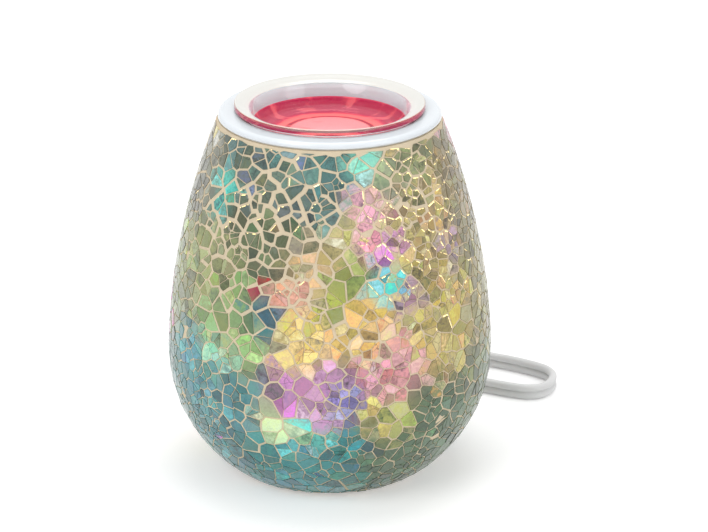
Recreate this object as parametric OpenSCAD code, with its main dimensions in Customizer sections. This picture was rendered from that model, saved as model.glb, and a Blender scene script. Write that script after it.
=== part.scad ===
// Electric wax warmer: a blown glass vessel with a crackle mosaic skin, a lamp inside it,
// a collar on its mouth that carries a glass dish of wax, and a flat flex with a roller switch.
// Millimetres. The origin is on the table under the middle of the vessel, +Z is up
// and the flex leaves at the back, towards +Y.

/* [Body] */
// Height of the mosaic body's top edge
body_top = 158.2; // [140:0.1:190]
// Gap between the table and the body's lower edge
body_lift = 1.5; // [1:0.1:3]
// Radius at the widest place
belly_r = 70.6; // [62:0.1:85]
// Height of the widest place
belly_z = 53; // [44:0.5:64]
// Radius of the top edge
mouth_r = 48.2; // [46:0.1:58]
// Radius of the lower edge
foot_r = 43.5; // [40:0.1:52]
// How fast the shoulder closes in towards the mouth
shoulder_power = 1.86; // [1.6:0.01:2.2]
// How far the heel's ellipse reaches below the foot, as a share of the heel's height
heel_reach = 1.25; // [1.15:0.01:1.6]

/* [Mosaic] */
// Thickness of the glass chips
chip_t = 1; // [0.7:0.1:2]
// Chips round the body in one row
chips_around = 30; // [18:1:36]
// Rows of chips
chip_rows = 16; // [10:1:18]
// Width of the grout joint between two chips
joint_w = 1.2; // [0.8:0.1:2.5]
// How far a chip strays from its regular place, as a share of the spacing
chip_jitter = 0.34; // [0:0.01:0.4]
// Least adhesive under a chip, below the middle of its flat back
chip_bond = 0.05; // [0.03:0.01:0.3]
// Thickness of the grout coat
grout_t = 0.9; // [0.6:0.1:2]
// Thickness of the blown glass
glass_t = 2.4; // [1.8:0.1:4]

/* [Collar and dish] */
// Thickness of the collar's plate
collar_t = 2.9; // [2:0.1:5]
// How far the collar stays inside the body's top edge
collar_inset = 0.5; // [0.2:0.1:2]
// Depth of the collar's skirt inside the mouth
skirt_h = 8.5; // [5:0.1:14]
// Thickness of the collar's skirt
skirt_t = 1.8; // [1.2:0.1:3]
// Thickness of the gasket under the collar
gasket_t = 0.6; // [0.4:0.1:1.5]
// Radius of the dish's flange
flange_r = 40.7; // [38:0.1:42]
// Thickness of the dish's flange at its edge
flange_t = 3.3; // [2.5:0.1:5]
// How far the flange's top slopes down to the bowl
flange_fall = 2.2; // [0:0.1:2.8]
// Outer radius of the bowl under the flange
bowl_r = 36.4; // [33:0.1:37.5]
// Depth of the bowl below the collar
bowl_depth = 18.2; // [14:0.1:24]
// Thickness of the dish's wall
dish_wall = 2.1; // [1.6:0.1:3]
// Thickness of the dish's floor
dish_floor = 3.3; // [2.5:0.1:4.5]
// Depth of the melted wax
wax_depth = 9.7; // [4:0.1:12]

/* [Lamp] */
// Radius of the bulb's globe
globe_r = 22.5; // [18:0.5:26]
// Length of the bulb from its contact to its top
bulb_len = 73; // [66:0.5:80]
// Air between the bulb's top and the dish
bulb_gap = 24; // [18:0.5:30]
// Radius of the bulb's screw cap
cap_r = 5.9; // [5.8:0.05:6]
// Radius of the lamp holder
holder_r = 13; // [11.5:0.1:16]
// Height of the lamp holder
holder_h = 36; // [34:0.5:42]
// Radius of the threaded rod
rod_r = 4.9; // [4.5:0.1:6]
// Radius of the bore through the rod
rod_bore_r = 3.5; // [2.5:0.1:3.8]
// Width across the flats of the rod's nuts
nut_flats = 14; // [12:0.5:17]
// Thickness of the rod's nuts
nut_t = 3; // [2.5:0.1:5]

/* [Base] */
// Height of the base plate's rim above the table
plate_z = 3.4; // [3:0.1:6]
// Thickness of the base plate
plate_t = 2.2; // [1.6:0.1:3.5]
// Gap between a foot and the edge of the base plate's underside
foot_inset = 2; // [1:0.1:5]
// Number of feet
feet_count = 4; // [3:1:6]
// Radius of a foot
foot_pad_r = 5; // [4:0.1:6]
// Height of a foot below the base plate
foot_pad_h = 1.8; // [1.6:0.1:2.5]
// Length of a cooling slot in the base plate
vent_len = 11; // [6:0.5:12]
// Width of a cooling slot
vent_w = 2.4; // [1.5:0.1:3]

/* [Flex] */
// Width of the flat flex
flex_w = 7.4; // [5.4:0.1:8]
// Thickness of the flat flex
flex_t = 3.7; // [2.7:0.1:4]
// Height of the middle of the flex's hole in the body
exit_z = 18; // [15:0.5:26]
// Radius of the hole in the body
exit_r = 6.4; // [6.2:0.1:8]
// Length of the strain relief's nose outside the body
nose_len = 20; // [16:0.5:30]
// Radius of the coil at its outer turn
coil_r = 42; // [37:0.5:46]
// Turns side by side in the coil
coil_across = 3; // [2:1:4]
// Layers of turns in the coil
coil_layers = 2; // [1:1:3]

/* [Roller switch and plug] */
// Length of the switch's housing
switch_len = 54; // [48:1:60]
// Height of the switch's housing
switch_h = 18; // [16:0.5:24]
// Thickness of the switch's housing, both halves together
switch_t = 15; // [13:0.5:20]
// Wall of the switch's housing
switch_wall = 1.8; // [1.4:0.1:2.4]
// Radius of the roller
roller_r = 8.5; // [7:0.1:9]
// Thickness of the roller
roller_t = 4.6; // [3.5:0.1:6]
// How far the roller stands out of the housing
roller_out = 2; // [1:0.1:3]
// Radius of the roller's spindle
spindle_r = 1.25; // [1:0.05:1.6]
// Length of the plug's moulded body
plug_len = 30; // [26:0.5:36]
// Width of the plug's face
plug_w = 24; // [22:0.5:28]
// Thickness of the plug
plug_t = 12.4; // [11:0.1:16]
// Grip grooves across each broad side of the plug
grip_grooves = 4; // [2:1:5]
// Length of the plug's blades
blade_len = 17.5; // [15.9:0.1:18.3]

/* [Clearances] */
// Gap all round the bowl in the collar's opening
bowl_clear = 0.8; // [0.4:0.1:1.5]
// Gap between the collar's skirt and the glass
skirt_clear = 0.5; // [0.2:0.1:1]
// Gap of a piece that is pushed into its seat
seat_clear = 0.1; // [0.05:0.01:0.2]
// Radial clearance of a turning or screwing piece
turn_clear = 0.08; // [0.02:0.01:0.1]
// Radial clearance between the bulb's cap and its screw shell
cap_clear = 0.2; // [0.1:0.05:0.3]

/* [Hidden] */
$fn = 64;

// ---- The body's shape ----

// A flat chip's corners lie on a round layer, so the middle of its back sinks below that layer:
// this far for the widest chip at the belly, whose farthest corner lies corner_reach away.
corner_reach = 0.6725 * 2 * PI * belly_r / chips_around;
chip_sag = corner_reach * corner_reach / (2 * belly_r);

// Depths below the chips' faces at which each layer of the skin starts.
grout_d = chip_t + chip_sag + chip_bond;
vessel_d = grout_d + grout_t;
inside_d = vessel_d + glass_t;

heel_b = (belly_z - body_lift) * heel_reach;

// Share of the heel's drop that is reached h below the belly, on an ellipse.
function heel_drop(h) = 1 - sqrt(1 - pow(h / heel_b, 2));

// Radius of the chips' faces at height z.
function body_r(z) = z >= belly_z
    ? belly_r - (belly_r - mouth_r) * pow((z - belly_z) / (body_top - belly_z), shoulder_power)
    : belly_r - (belly_r - foot_r) * heel_drop(belly_z - z) / heel_drop(belly_z - body_lift);

function body_slope(z) = (body_r(z + 0.05) - body_r(z - 0.05)) / 0.1;

// Radius at height z of the surface that lies depth below the chips' faces.
function skin_r(z, depth) = body_r(z) - depth * sqrt(1 + pow(body_slope(z), 2));

heel_steps = 12;
shoulder_steps = 12;
skin_zs = concat(
    [for (i = [0 : heel_steps]) body_lift + (belly_z - body_lift) * pow(i / heel_steps, 1.2)],
    [for (i = [1 : shoulder_steps]) belly_z + (body_top - belly_z) * i / shoulder_steps]
);

function reversed(list) = [for (i = [len(list) - 1 : -1 : 0]) list[i]];

// Points of an arc round [x, y], from angle a to angle b.
function arc(x, y, r, a, b, steps = 6) =
    [for (i = [0 : steps]) let (t = a + (b - a) * i / steps) [x + r * cos(t), y + r * sin(t)]];

module skin_layer(outer_depth, inner_depth) {
    rotate_extrude()
        polygon(concat(
            [for (z = skin_zs) [skin_r(z, outer_depth), z]],
            [for (z = reversed(skin_zs)) [skin_r(z, inner_depth), z]]
        ));
}

// Places its children on the flex's hole: z outwards, square to the skin, and y downwards.
exit_fall = atan(body_slope(exit_z));
module at_exit() {
    translate([0, body_r(exit_z), exit_z]) rotate([-90 - exit_fall, 0, 0]) children();
}

module exit_hole() {
    hole_len = 3 * inside_d;
    at_exit() translate([0, 0, -2 * inside_d]) cylinder(r = exit_r, h = hole_len);
}

module glass_vessel() {
    color("lightcyan", 0.5) difference() {
        skin_layer(vessel_d, inside_d);
        exit_hole();
    }
}

module grout_coat() {
    color("tan") difference() {
        skin_layer(grout_d, vessel_d);
        exit_hole();
    }
}

// ---- The mosaic ----
// The skin is unrolled with the angle as x, and as y the height in a measure that keeps shapes
// true: a step up the skin divided by its radius. Each chip is the cell of a strayed grid point.

map_zs = [for (i = [0 : 60]) body_lift + (body_top - body_lift) * i / 60];
function map_step(i) = norm([
    body_r(map_zs[i + 1]) - body_r(map_zs[i]),
    map_zs[i + 1] - map_zs[i]
]) * 2 / (body_r(map_zs[i + 1]) + body_r(map_zs[i]));
function map_ys(i = 0, y = 0) = i == len(map_zs) ? [] :
    concat([y], map_ys(i + 1, i < len(map_zs) - 1 ? y + map_step(i) : y));
map_y = map_ys();
map_top = map_y[len(map_y) - 1];
map_to_z = [for (i = [0 : len(map_zs) - 1]) [map_y[i], map_zs[i]]];

col_step = 2 * PI / chips_around;
row_step = map_top / chip_rows;
stray_seed = 41;
stray = rands(-chip_jitter, chip_jitter, 2 * chips_around * chip_rows, stray_seed);

// The grid point of a row and column. Columns wrap round, and every other row is shifted.
function chip_seed(row, col) = let (
    at = 2 * (row * chips_around + (col + 2 * chips_around) % chips_around)
) [
    (col + (row % 2) / 2 + stray[at]) * col_step,
    (row + 0.5 + stray[at + 1]) * row_step
];

// The part of a polygon where p * n <= d.
function cut(poly, n, d) = [
    for (i = [0 : 1 : len(poly) - 1])
        let (a = poly[i], b = poly[(i + 1) % len(poly)], da = a * n - d, db = b * n - d)
            each concat(da <= 0 ? [a] : [], da * db < 0 ? [a + (b - a) * da / (da - db)] : [])
];
function cut_all(poly, planes, i = 0) = i == len(planes) || len(poly) < 3 ? poly :
    cut_all(cut(poly, planes[i][0], planes[i][1]), planes, i + 1);

// A polygon without the corners that lie closer than least to the corner before them.
function without_short_sides(poly, least) = [
    for (i = [0 : 1 : len(poly) - 1])
        if (norm(poly[i] - poly[(i + len(poly) - 1) % len(poly)]) > least) poly[i]
];

// The flex's bushing on the unrolled skin, and the half-plane that keeps a chip clear of it.
exit_flange_r = exit_r + 1.6;
exit_at = [PI, lookup(exit_z, [for (i = [0 : len(map_zs) - 1]) [map_zs[i], map_y[i]]])];
exit_clear = (exit_flange_r + joint_w / 2) / body_r(exit_z);
function exit_plane(at) = let (n = (exit_at - at) / norm(exit_at - at)) [n, exit_at * n - exit_clear];

function cell(row, col) = let (
    at = chip_seed(row, col),
    half_joint = joint_w / 2 / body_r(lookup(at.y, map_to_z)),
    reach = 1.5 * max(col_step, row_step),
    frame = [at + [-reach, -reach], at + [reach, -reach], at + [reach, reach], at + [-reach, reach]],
    neighbours = [
        for (r = [max(0, row - 2) : min(chip_rows - 1, row + 2)], c = [col - 2 : col + 2])
            if (r != row || c != col) chip_seed(r, c)
    ],
    planes = concat(
        [for (b = neighbours) let (n = (b - at) / norm(b - at)) [n, (at + b) / 2 * n - half_joint]],
        [[[0, 1], map_top - half_joint], [[0, -1], -half_joint / 2]],
        norm(at - exit_at) < exit_clear + reach ? [exit_plane(at)] : []
    )
) without_short_sides(cut_all(frame, planes), joint_w / 2 / belly_r);

function fine(p) = [for (x = p) round(1000 * x) / 1000];
function on_skin(p, depth) = let (z = lookup(p.y, map_to_z), r = skin_r(z, depth))
    fine([r * sin(p.x * 180 / PI), -r * cos(p.x * 180 / PI), z]);

// Triangles of a chip with n corners: its front, its back and its sides.
function chip_faces(n, first) = concat(
    [for (i = [1 : n - 2]) [first, first + i, first + i + 1]],
    [for (i = [1 : n - 2]) [first + n, first + n + i + 1, first + n + i]],
    [for (i = [0 : n - 1]) let (a = first + i, b = first + (i + 1) % n)
        each [[a, a + n, b + n], [a, b + n, b]]]
);
function running(list, i = 0, sum = 0) = i == len(list) ? [] :
    concat([sum], running(list, i + 1, sum + 2 * len(list[i])));

module mosaic_chips() {
    cells = [
        for (row = [0 : chip_rows - 1], col = [0 : chips_around - 1])
            let (poly = cell(row, col)) if (len(poly) > 2) poly
    ];
    firsts = running(cells);
    color("cadetblue") polyhedron(
        points = [for (poly = cells) each concat(
            [for (p = reversed(poly)) on_skin(p, 0)],
            [for (p = reversed(poly)) on_skin(p, chip_t)]
        )],
        faces = [for (i = [0 : len(cells) - 1]) each chip_faces(len(cells[i]), firsts[i])]
    );
}

// ---- Collar, dish and wax ----

collar_z = body_top + gasket_t;
seat_z = collar_z + collar_t;
collar_r = mouth_r - collar_inset;
opening_r = bowl_r + bowl_clear;
mouth_inner_r = skin_r(body_top, inside_d);
skirt_r = mouth_inner_r - skirt_clear;

module mouth_gasket() {
    gasket_inner_r = mouth_inner_r;
    gasket_outer_r = collar_r - 1.2;
    color("white", 0.7) rotate_extrude()
        translate([gasket_inner_r, body_top]) square([gasket_outer_r - gasket_inner_r, gasket_t]);
}

module collar() {
    edge_r = 0.7 * collar_t;
    crown_fall = 0.2;
    edge_z = seat_z - crown_fall - edge_r;
    bevel = 0.8;
    color("white") rotate_extrude() polygon(concat(
        [[opening_r, seat_z - bevel], [opening_r + bevel, seat_z], [flange_r + bevel, seat_z]],
        arc(collar_r - edge_r, edge_z, edge_r, 80, 0),
        [[collar_r, collar_z + bevel / 2], [collar_r - bevel / 2, collar_z]],
        [[skirt_r, collar_z], [skirt_r, collar_z - skirt_h + bevel]],
        [[skirt_r - bevel, collar_z - skirt_h], [skirt_r - skirt_t, collar_z - skirt_h]],
        [[skirt_r - skirt_t, collar_z + bevel / 2], [opening_r, collar_z + bevel / 2]]
    ));
}

flange_top = seat_z + flange_t;
dish_z = seat_z - bowl_depth;
floor_z = dish_z + dish_floor;
wax_z = floor_z + wax_depth;
lip_r = bowl_r - dish_wall;
lip_z = flange_top - flange_fall - 0.5;
// Radius where the bowl's inner wall meets the bend to its floor, and the radius of that bend.
bend_r = lip_r - 3.2;
floor_bend = 5;
floor_ring_r = 19.5;
floor_step = 0.5;

// Radius of the bowl's inner wall, which leans outwards, at height z.
function bowl_in_r(z) =
    bend_r + (lip_r - bend_r) * (z - floor_z - floor_bend) / (lip_z - floor_z - floor_bend);

bowl_floor = concat(
    [[0, floor_z + floor_step], [floor_ring_r - 0.6, floor_z + floor_step], [floor_ring_r, floor_z]],
    arc(bend_r - floor_bend, floor_z + floor_bend, floor_bend, -90, 0)
);

module dish() {
    foot_ring_r = 26;
    edge = 0.6;
    heel_bend = 6;
    heel_r = bend_r + dish_wall;
    color("white", 0.4) rotate_extrude() polygon(concat(
        bowl_floor,
        [[lip_r, lip_z]],
        [[lip_r + 0.7, lip_z + 0.5]],
        arc(flange_r - edge, flange_top - edge, edge, 90, 0, 4),
        arc(flange_r - edge, seat_z + edge, edge, 0, -90, 4),
        [[bowl_r, seat_z], [bowl_r, seat_z - edge]],
        arc(heel_r - heel_bend, dish_z + heel_bend, heel_bend, 0, -90),
        [[foot_ring_r, dish_z], [floor_ring_r, dish_z]],
        [[floor_ring_r - 1, dish_z + 1], [0, dish_z + 1]]
    ));
}

module wax() {
    color("crimson", 0.8) rotate_extrude()
        polygon(concat(bowl_floor, [[bowl_in_r(wax_z), wax_z], [0, wax_z]]));
}

// ---- Base ----

plate_r = skin_r(plate_z, inside_d) - 0.5;
hub_r = skin_r(body_lift, inside_d) - 0.8;
hub_z = foot_pad_h;
recess_r = nut_flats / sqrt(3) + 3.5;
recess_z = hub_z + nut_t + 1.2;
rib_t = 1.6;
stud_r = 2;
feet_circle_r = hub_r - foot_pad_r - foot_inset;

module feet_places() {
    for (i = [0 : feet_count - 1])
        rotate([0, 0, 45 + 360 * i / feet_count]) translate([feet_circle_r, 0, 0]) children();
}

// Two rows of slots between each pair of feet.
module vent_slots() {
    slot_x = (vent_len - vent_w) / 2;
    for (i = [0 : feet_count - 1], row_r = [recess_r + plate_t + 3, hub_r - 4.6])
        rotate([0, 0, 45 + 180 / feet_count + 360 * i / feet_count]) translate([row_r, 0, 0]) {
            translate([-vent_w / 2, -slot_x, 0]) cube([vent_w, 2 * slot_x, 4 * plate_z]);
            for (y = [-slot_x, slot_x]) translate([0, y, 0])
                cylinder(r = vent_w / 2, h = 4 * plate_z, $fn = 24);
        }
}

module base_plate() {
    bevel = 0.4;
    rim_r = hub_r - 2.6;
    color("gainsboro") difference() {
        union() {
            rotate_extrude() polygon([
                [rod_r + seat_clear, recess_z], [recess_r, recess_z], [recess_r, hub_z],
                [hub_r, hub_z], [hub_r, plate_z], [plate_r - bevel, plate_z],
                [plate_r, plate_z + bevel], [plate_r, plate_z + plate_t],
                [rim_r, plate_z + plate_t], [rim_r, hub_z + plate_t],
                [recess_r + plate_t, hub_z + plate_t], [recess_r + plate_t, recess_z + plate_t],
                [rod_r + seat_clear, recess_z + plate_t]
            ]);
            for (i = [0 : 2 * feet_count - 1])
                rotate([0, 0, 22.5 + 180 * i / feet_count])
                    translate([recess_r + plate_t / 2, -rib_t / 2, hub_z + plate_t / 2])
                        cube([rim_r + 1 - recess_r - plate_t / 2, rib_t, plate_z - hub_z + plate_t / 2]);
        }
        feet_places() cylinder(r = stud_r + seat_clear / 2, h = 4 * plate_z);
        vent_slots();
    }
}

module base_seal() {
    wall_gap = 0.15;
    top_z = plate_z + plate_t + 1.6;
    zs = [for (i = [0 : 4]) plate_z + 0.2 + (top_z - plate_z - 0.2) * i / 4];
    color("ghostwhite") rotate_extrude() polygon(concat(
        [for (z = zs) [skin_r(z, inside_d) - wall_gap, z]],
        [[plate_r - 1.6, plate_z + plate_t], [plate_r, plate_z + plate_t]],
        [[plate_r, plate_z + 0.4]]
    ));
}

module rubber_feet() {
    bevel = 0.5;
    color("dimgray") feet_places() rotate_extrude() polygon([
        [0, 0], [foot_pad_r - bevel, 0], [foot_pad_r, bevel], [foot_pad_r, hub_z],
        [stud_r, hub_z], [stud_r, hub_z + plate_t + 0.6], [0, hub_z + plate_t + 0.6]
    ]);
}

// ---- Lamp: everything hangs from the bulb's top, which stays bulb_gap below the dish ----

bulb_top = dish_z - bulb_gap;
tip_z = bulb_top - bulb_len;
holder_z = tip_z - 13;
rod_top = holder_z + 8;
shell_t = 0.5;
shell_r = cap_r + cap_clear;
cap_h = 15;
cap_wall = 0.4;
neck_r = 7.9;
neck_z = tip_z + 20;
globe_z = bulb_top - globe_r;
bulb_wall = 0.8;

module threaded_rod() {
    color("darkgoldenrod") translate([0, 0, hub_z + 0.6]) difference() {
        cylinder(r = rod_r, h = rod_top - hub_z - 0.6);
        translate([0, 0, -1]) cylinder(r = rod_bore_r, h = rod_top);
    }
}

washer_t = 0.8;
module hex_nut() {
    difference() {
        cylinder(r = nut_flats / sqrt(3), h = nut_t, $fn = 6);
        translate([0, 0, -1]) cylinder(r = rod_r + seat_clear / 2, h = nut_t + 2, $fn = 48);
    }
}
module rod_nuts() {
    color("goldenrod") for (z = [recess_z - nut_t, recess_z + plate_t + washer_t, holder_z - nut_t])
        translate([0, 0, z]) hex_nut();
}

module lock_washer() {
    tooth_count = 12;
    washer_r = nut_flats / 2 + 0.6;
    color("silver") translate([0, 0, recess_z + plate_t]) difference() {
        cylinder(r = washer_r, h = washer_t);
        translate([0, 0, -1]) cylinder(r = rod_r + seat_clear, h = washer_t + 2);
        for (i = [0 : tooth_count - 1])
            rotate([0, 0, 360 * i / tooth_count]) translate([washer_r, -0.5, -1])
                cube([2.4, 1, washer_t + 2]);
    }
}

screw_z = holder_z + 5.5;
module terminal_places() {
    for (side = [-1, 1]) translate([side * holder_r, 0, screw_z]) rotate([0, side * 90, 0]) children();
}

module lamp_holder() {
    rim = 1;
    shell_seat_z = holder_z + 11;
    throat_z = holder_z + holder_h - 6;
    color("oldlace") difference() {
        rotate_extrude() polygon([
            [0, holder_z], [holder_r - rim, holder_z], [holder_r, holder_z + rim],
            [holder_r, holder_z + holder_h - rim], [holder_r - rim, holder_z + holder_h],
            [0, holder_z + holder_h]
        ]);
        translate([0, 0, holder_z - 1]) cylinder(r = rod_r + seat_clear / 2, h = rod_top - holder_z + 1);
        translate([0, 0, shell_seat_z]) cylinder(r = shell_r + shell_t + seat_clear, h = holder_h);
        translate([0, 0, throat_z]) cylinder(r = neck_r + 1.6, h = holder_h);
        terminal_places() translate([0, 0, -5]) cylinder(r = 1.7, h = 6, $fn = 24);
        terminal_places() translate([0, 0, -1.2]) cylinder(r = 3.8, h = 2, $fn = 32);
    }
}

module screw_shell() {
    color("gold") translate([0, 0, holder_z + 11]) difference() {
        cylinder(r = shell_r + shell_t, h = holder_h - 18);
        translate([0, 0, shell_t]) cylinder(r = shell_r, h = holder_h);
        translate([0, 0, -1]) cylinder(r = shell_r - 1.4, h = 3);
    }
}

module centre_contact() {
    strip_w = 3.2;
    strip_t = 0.5;
    contact_gap = 0.1;
    color("gold") union() {
        translate([-4, -strip_w / 2, holder_z + 11 + shell_t - strip_t]) cube([6, strip_w, strip_t]);
        rotate([90, 0, 0]) translate([0, 0, -strip_w / 2]) linear_extrude(strip_w) polygon([
            [2 - strip_t, holder_z + 11], [2, holder_z + 11],
            [2, tip_z - contact_gap], [-2, tip_z - contact_gap],
            [-2, tip_z - contact_gap - strip_t], [2 - strip_t, tip_z - contact_gap - strip_t]
        ]);
    }
}

module terminal_screws() {
    color("gold") terminal_places() union() {
        translate([0, 0, -4.6]) cylinder(r = 1.6, h = 4, $fn = 24);
        difference() {
            translate([0, 0, -1.1]) cylinder(r = 3.2, h = 2, $fn = 32);
            translate([-4, -0.4, 0.3]) cube([8, 0.8, 1]);
        }
    }
}

// Outline of the bulb's glass: straight neck, hollow bend and globe, shrunk by depth.
neck_bend = 6.7;
bend_turn = acos((neck_r + neck_bend) / (globe_r + neck_bend));
function bulb_outline(depth) = concat(
    [[neck_r - depth, neck_z]],
    arc(neck_r + neck_bend, globe_z - globe_r * sin(bend_turn) - neck_bend * sin(bend_turn),
        neck_bend + depth, 180, 180 - bend_turn, 5),
    arc(0, globe_z, globe_r - depth, 9 - bend_turn, 90, 16)
);

module bulb_glass() {
    color("whitesmoke", 0.35) rotate_extrude()
        polygon(concat(bulb_outline(0), reversed(bulb_outline(bulb_wall))));
}

module bulb_stem() {
    flare_r = neck_r - bulb_wall - 0.05;
    color("lightblue", 0.6) translate([0, 0, neck_z]) rotate_extrude() polygon([
        [0, 0.2], [flare_r, 0.2], [flare_r, 1.2], [3.4, 3.4], [2.2, 6], [2, 14], [1.4, 15.5], [0, 15.5]
    ]);
}

filament_r = 8;
module bulb_filament() {
    color("gray") translate([0, 0, globe_z - 3]) rotate([90, 0, 0])
        rotate_extrude(angle = 180) translate([filament_r, 0]) circle(r = 0.35, $fn = 16);
}

// The wires run from the filament's ends down into the stem.
module bulb_supports() {
    wire_r = 0.4;
    top_z = globe_z - 3.1;
    foot = [2.5, neck_z + 12];
    rise = top_z - foot.y;
    lean = atan((filament_r - foot.x) / rise);
    color("silver") for (side = [-1, 1])
        translate([side * foot.x, 0, foot.y]) rotate([0, side * lean, 0])
            cylinder(r = wire_r, h = norm([filament_r - foot.x, rise]), $fn = 16);
}

module bulb_cap() {
    flare_z = tip_z + 2.5 + cap_h;
    flare_r = neck_r + seat_clear;
    color("silver") rotate_extrude() polygon([
        [cap_r, tip_z + 2.5], [cap_r, flare_z], [flare_r + cap_wall, flare_z + 2],
        [flare_r + cap_wall, flare_z + 5], [flare_r, flare_z + 5], [flare_r, flare_z + 2.4],
        [cap_r - cap_wall, flare_z + 0.4], [cap_r - cap_wall, tip_z + 2.5]
    ]);
}

module bulb_insulator() {
    color("black") rotate_extrude() polygon([
        [0, tip_z + 0.9], [2.4, tip_z + 0.9], [cap_r - cap_wall, tip_z + 2.5],
        [cap_r - cap_wall, tip_z + 4], [0, tip_z + 4]
    ]);
}

module bulb_contact() {
    color("silver") translate([0, 0, tip_z]) cylinder(r1 = 1.6, r2 = 2.1, h = 0.9);
}

// ---- Flex ----

// Section of the flat flex, grown by extra: two round cores side by side along y.
module flex_section(extra = 0) {
    core_y = (flex_w - flex_t) / 2;
    for (side = [-1, 1]) translate([0, side * core_y]) circle(r = flex_t / 2 + extra, $fn = 32);
    square([flex_t + 2 * extra, 2 * core_y], center = true);
}

section_points = concat(
    [for (i = [0 : 4]) let (a = 45 * i) [flex_t / 2 * cos(a), (flex_w - flex_t) / 2 + flex_t / 2 * sin(a)]],
    [for (i = [4 : 8]) let (a = 45 * i) [flex_t / 2 * cos(a), -(flex_w - flex_t) / 2 + flex_t / 2 * sin(a)]]
);
round_points = [for (i = [0 : 7]) flex_t * 0.45 * [cos(45 * i), sin(45 * i)]];

function unit(v) = v / norm(v);
function along(route, i) = unit(route[min(i + 1, len(route) - 1)] - route[max(i - 1, 0)]);

// One ring of a sweep: the section at a point of the route, upright and then turned by twist.
function ring(section, at, way, twist) = let (
    side = unit(cross(way, [0, 0, 1])),
    up = cross(side, way)
) [for (p = section)
    let (x = p.x * cos(twist) - p.y * sin(twist), y = p.x * sin(twist) + p.y * cos(twist))
        at + side * x + up * y];

module sweep(section, route, twists = []) {
    n = len(section);
    last = len(route) - 1;
    polyhedron(
        points = [for (i = [0 : last])
            each ring(section, route[i], along(route, i), len(twists) > i ? twists[i] : 0)],
        faces = concat(
            [[for (k = [0 : n - 1]) k]],
            [for (i = [0 : last - 1], k = [0 : n - 1])
                each [[i * n + k, (i + 1) * n + k, (i + 1) * n + (k + 1) % n],
                      [i * n + k, (i + 1) * n + (k + 1) % n, i * n + (k + 1) % n]]],
            [[for (k = [n - 1 : -1 : 0]) last * n + k]]
        )
    );
}

exit_middle = [0, body_r(exit_z), exit_z];
exit_way = [0, cos(exit_fall), -sin(exit_fall)];
exit_mouth = exit_middle + exit_way * (nose_len - grout_d);
bushing_in = inside_d + 2.4;
table_z = flex_w / 2 + 0.1;

module cord_bushing() {
    rib_count = 4;
    shoulder_r = exit_r + 0.9;
    shoulder_sag = shoulder_r * shoulder_r / (2 * skin_r(exit_z, inside_d));
    outer_face = -grout_d + 0.05;
    inner_face = -inside_d - shoulder_sag - 0.3;
    tip_r = flex_w / 2 + 1.2;
    nose_r = exit_r - 0.3;
    nose_start = outer_face + 1.6;
    rib_step = (nose_len - 2 * grout_d - 2) / rib_count;
    function nose_at(s) = nose_r + (tip_r - nose_r) * s / (rib_step * rib_count);
    color("white") at_exit() difference() {
        rotate_extrude() polygon(concat(
            [[0, -bushing_in], [shoulder_r, -bushing_in], [shoulder_r, inner_face]],
            [[exit_r - seat_clear, inner_face], [exit_r - seat_clear, outer_face]],
            [[exit_flange_r, outer_face], [exit_flange_r, outer_face + 1.2]],
            [[nose_at(0), nose_start]],
            [for (i = [0 : rib_count - 1]) each [
                [nose_at(i * rib_step), nose_start + i * rib_step + 0.5 * rib_step],
                [nose_at(i * rib_step) - 0.7, nose_start + (i + 0.55) * rib_step],
                [nose_at(i * rib_step) - 0.7, nose_start + (i + 0.9) * rib_step],
                [nose_at((i + 1) * rib_step), nose_start + (i + 0.95) * rib_step]
            ]],
            [[tip_r, nose_len - grout_d], [0, nose_len - grout_d]]
        ));
        translate([0, 0, -bushing_in - 1])
            linear_extrude(nose_len + bushing_in + 2) rotate([0, 0, 90]) flex_section(seat_clear);
    }
}

// The flex's way inside the body, lying flat, from the bushing to where its cores part.
inner_route = concat(
    [exit_middle, exit_middle - exit_way * (bushing_in + 1.5)],
    [[0, 46, 26.6], [0, 40, 28.6], [0, 34, 29.2], [0, 28, 29.2], [0, 22.4, 30], [0, 18.6, 31.6]]
);
module inner_cord() {
    color("white") sweep(section_points, inner_route, [for (p = inner_route) 90]);
}

module lead_wires() {
    screw_side = holder_r + 1.9;
    core_route = [
        [1.9, 18.45, 31.7], [2.1, 16.5, 32.5], [4.6, 14.8, 34.2], [8.6, 13.6, 36.2],
        [12.2, 11.6, 37.8],
        [screw_side - 0.4, 8, screw_z - 0.2], [screw_side, 3.5, screw_z]
    ];
    color("white") for (side = [-1, 1])
        sweep(round_points, [for (p = core_route) [side * p.x, p.y, p.z]]);
}

// The flex on the table, from the bushing to the switch: it leaves lying flat, then turns on edge.
lead_route = concat([exit_middle, exit_middle + exit_way * nose_len / 2, exit_mouth], [
    [0, 78.7, 5.5], [0.4, 82.4, 3.7], [2.4, 87, 2.8], [7, 91.2, 2.8], [14, 93.8, 3.1],
    [22, 93.2, 3.5], [31, 90.4, table_z], [42, 85.8, table_z], [54, 80.2, table_z],
    [66, 74.4, table_z], [76, 69.6, table_z], [84, 65.8, table_z], [91, 63.6, table_z],
    [97, 64.4, table_z], [101.4, 68.2, table_z], [104, 74, table_z], [104.6, 80.4, table_z],
    [102.4, 86, table_z], [98, 90.4, table_z], [92.4, 94.4, table_z], [85, 98.8, table_z],
    [77, 102.8, table_z], [68, 106.4, 4.6], [59, 109.6, 6.6], [50, 111.6, 8.6], [44, 112, 9],
    [38, 112, 9]
]);
lead_twists = [90, 90, 90, 90, 90, 86, 74, 56, 36, 18, 6];
switch_middle = [17, 112, switch_h / 2];

module cord_lead() {
    color("white") sweep(section_points, lead_route, lead_twists);
}

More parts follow.
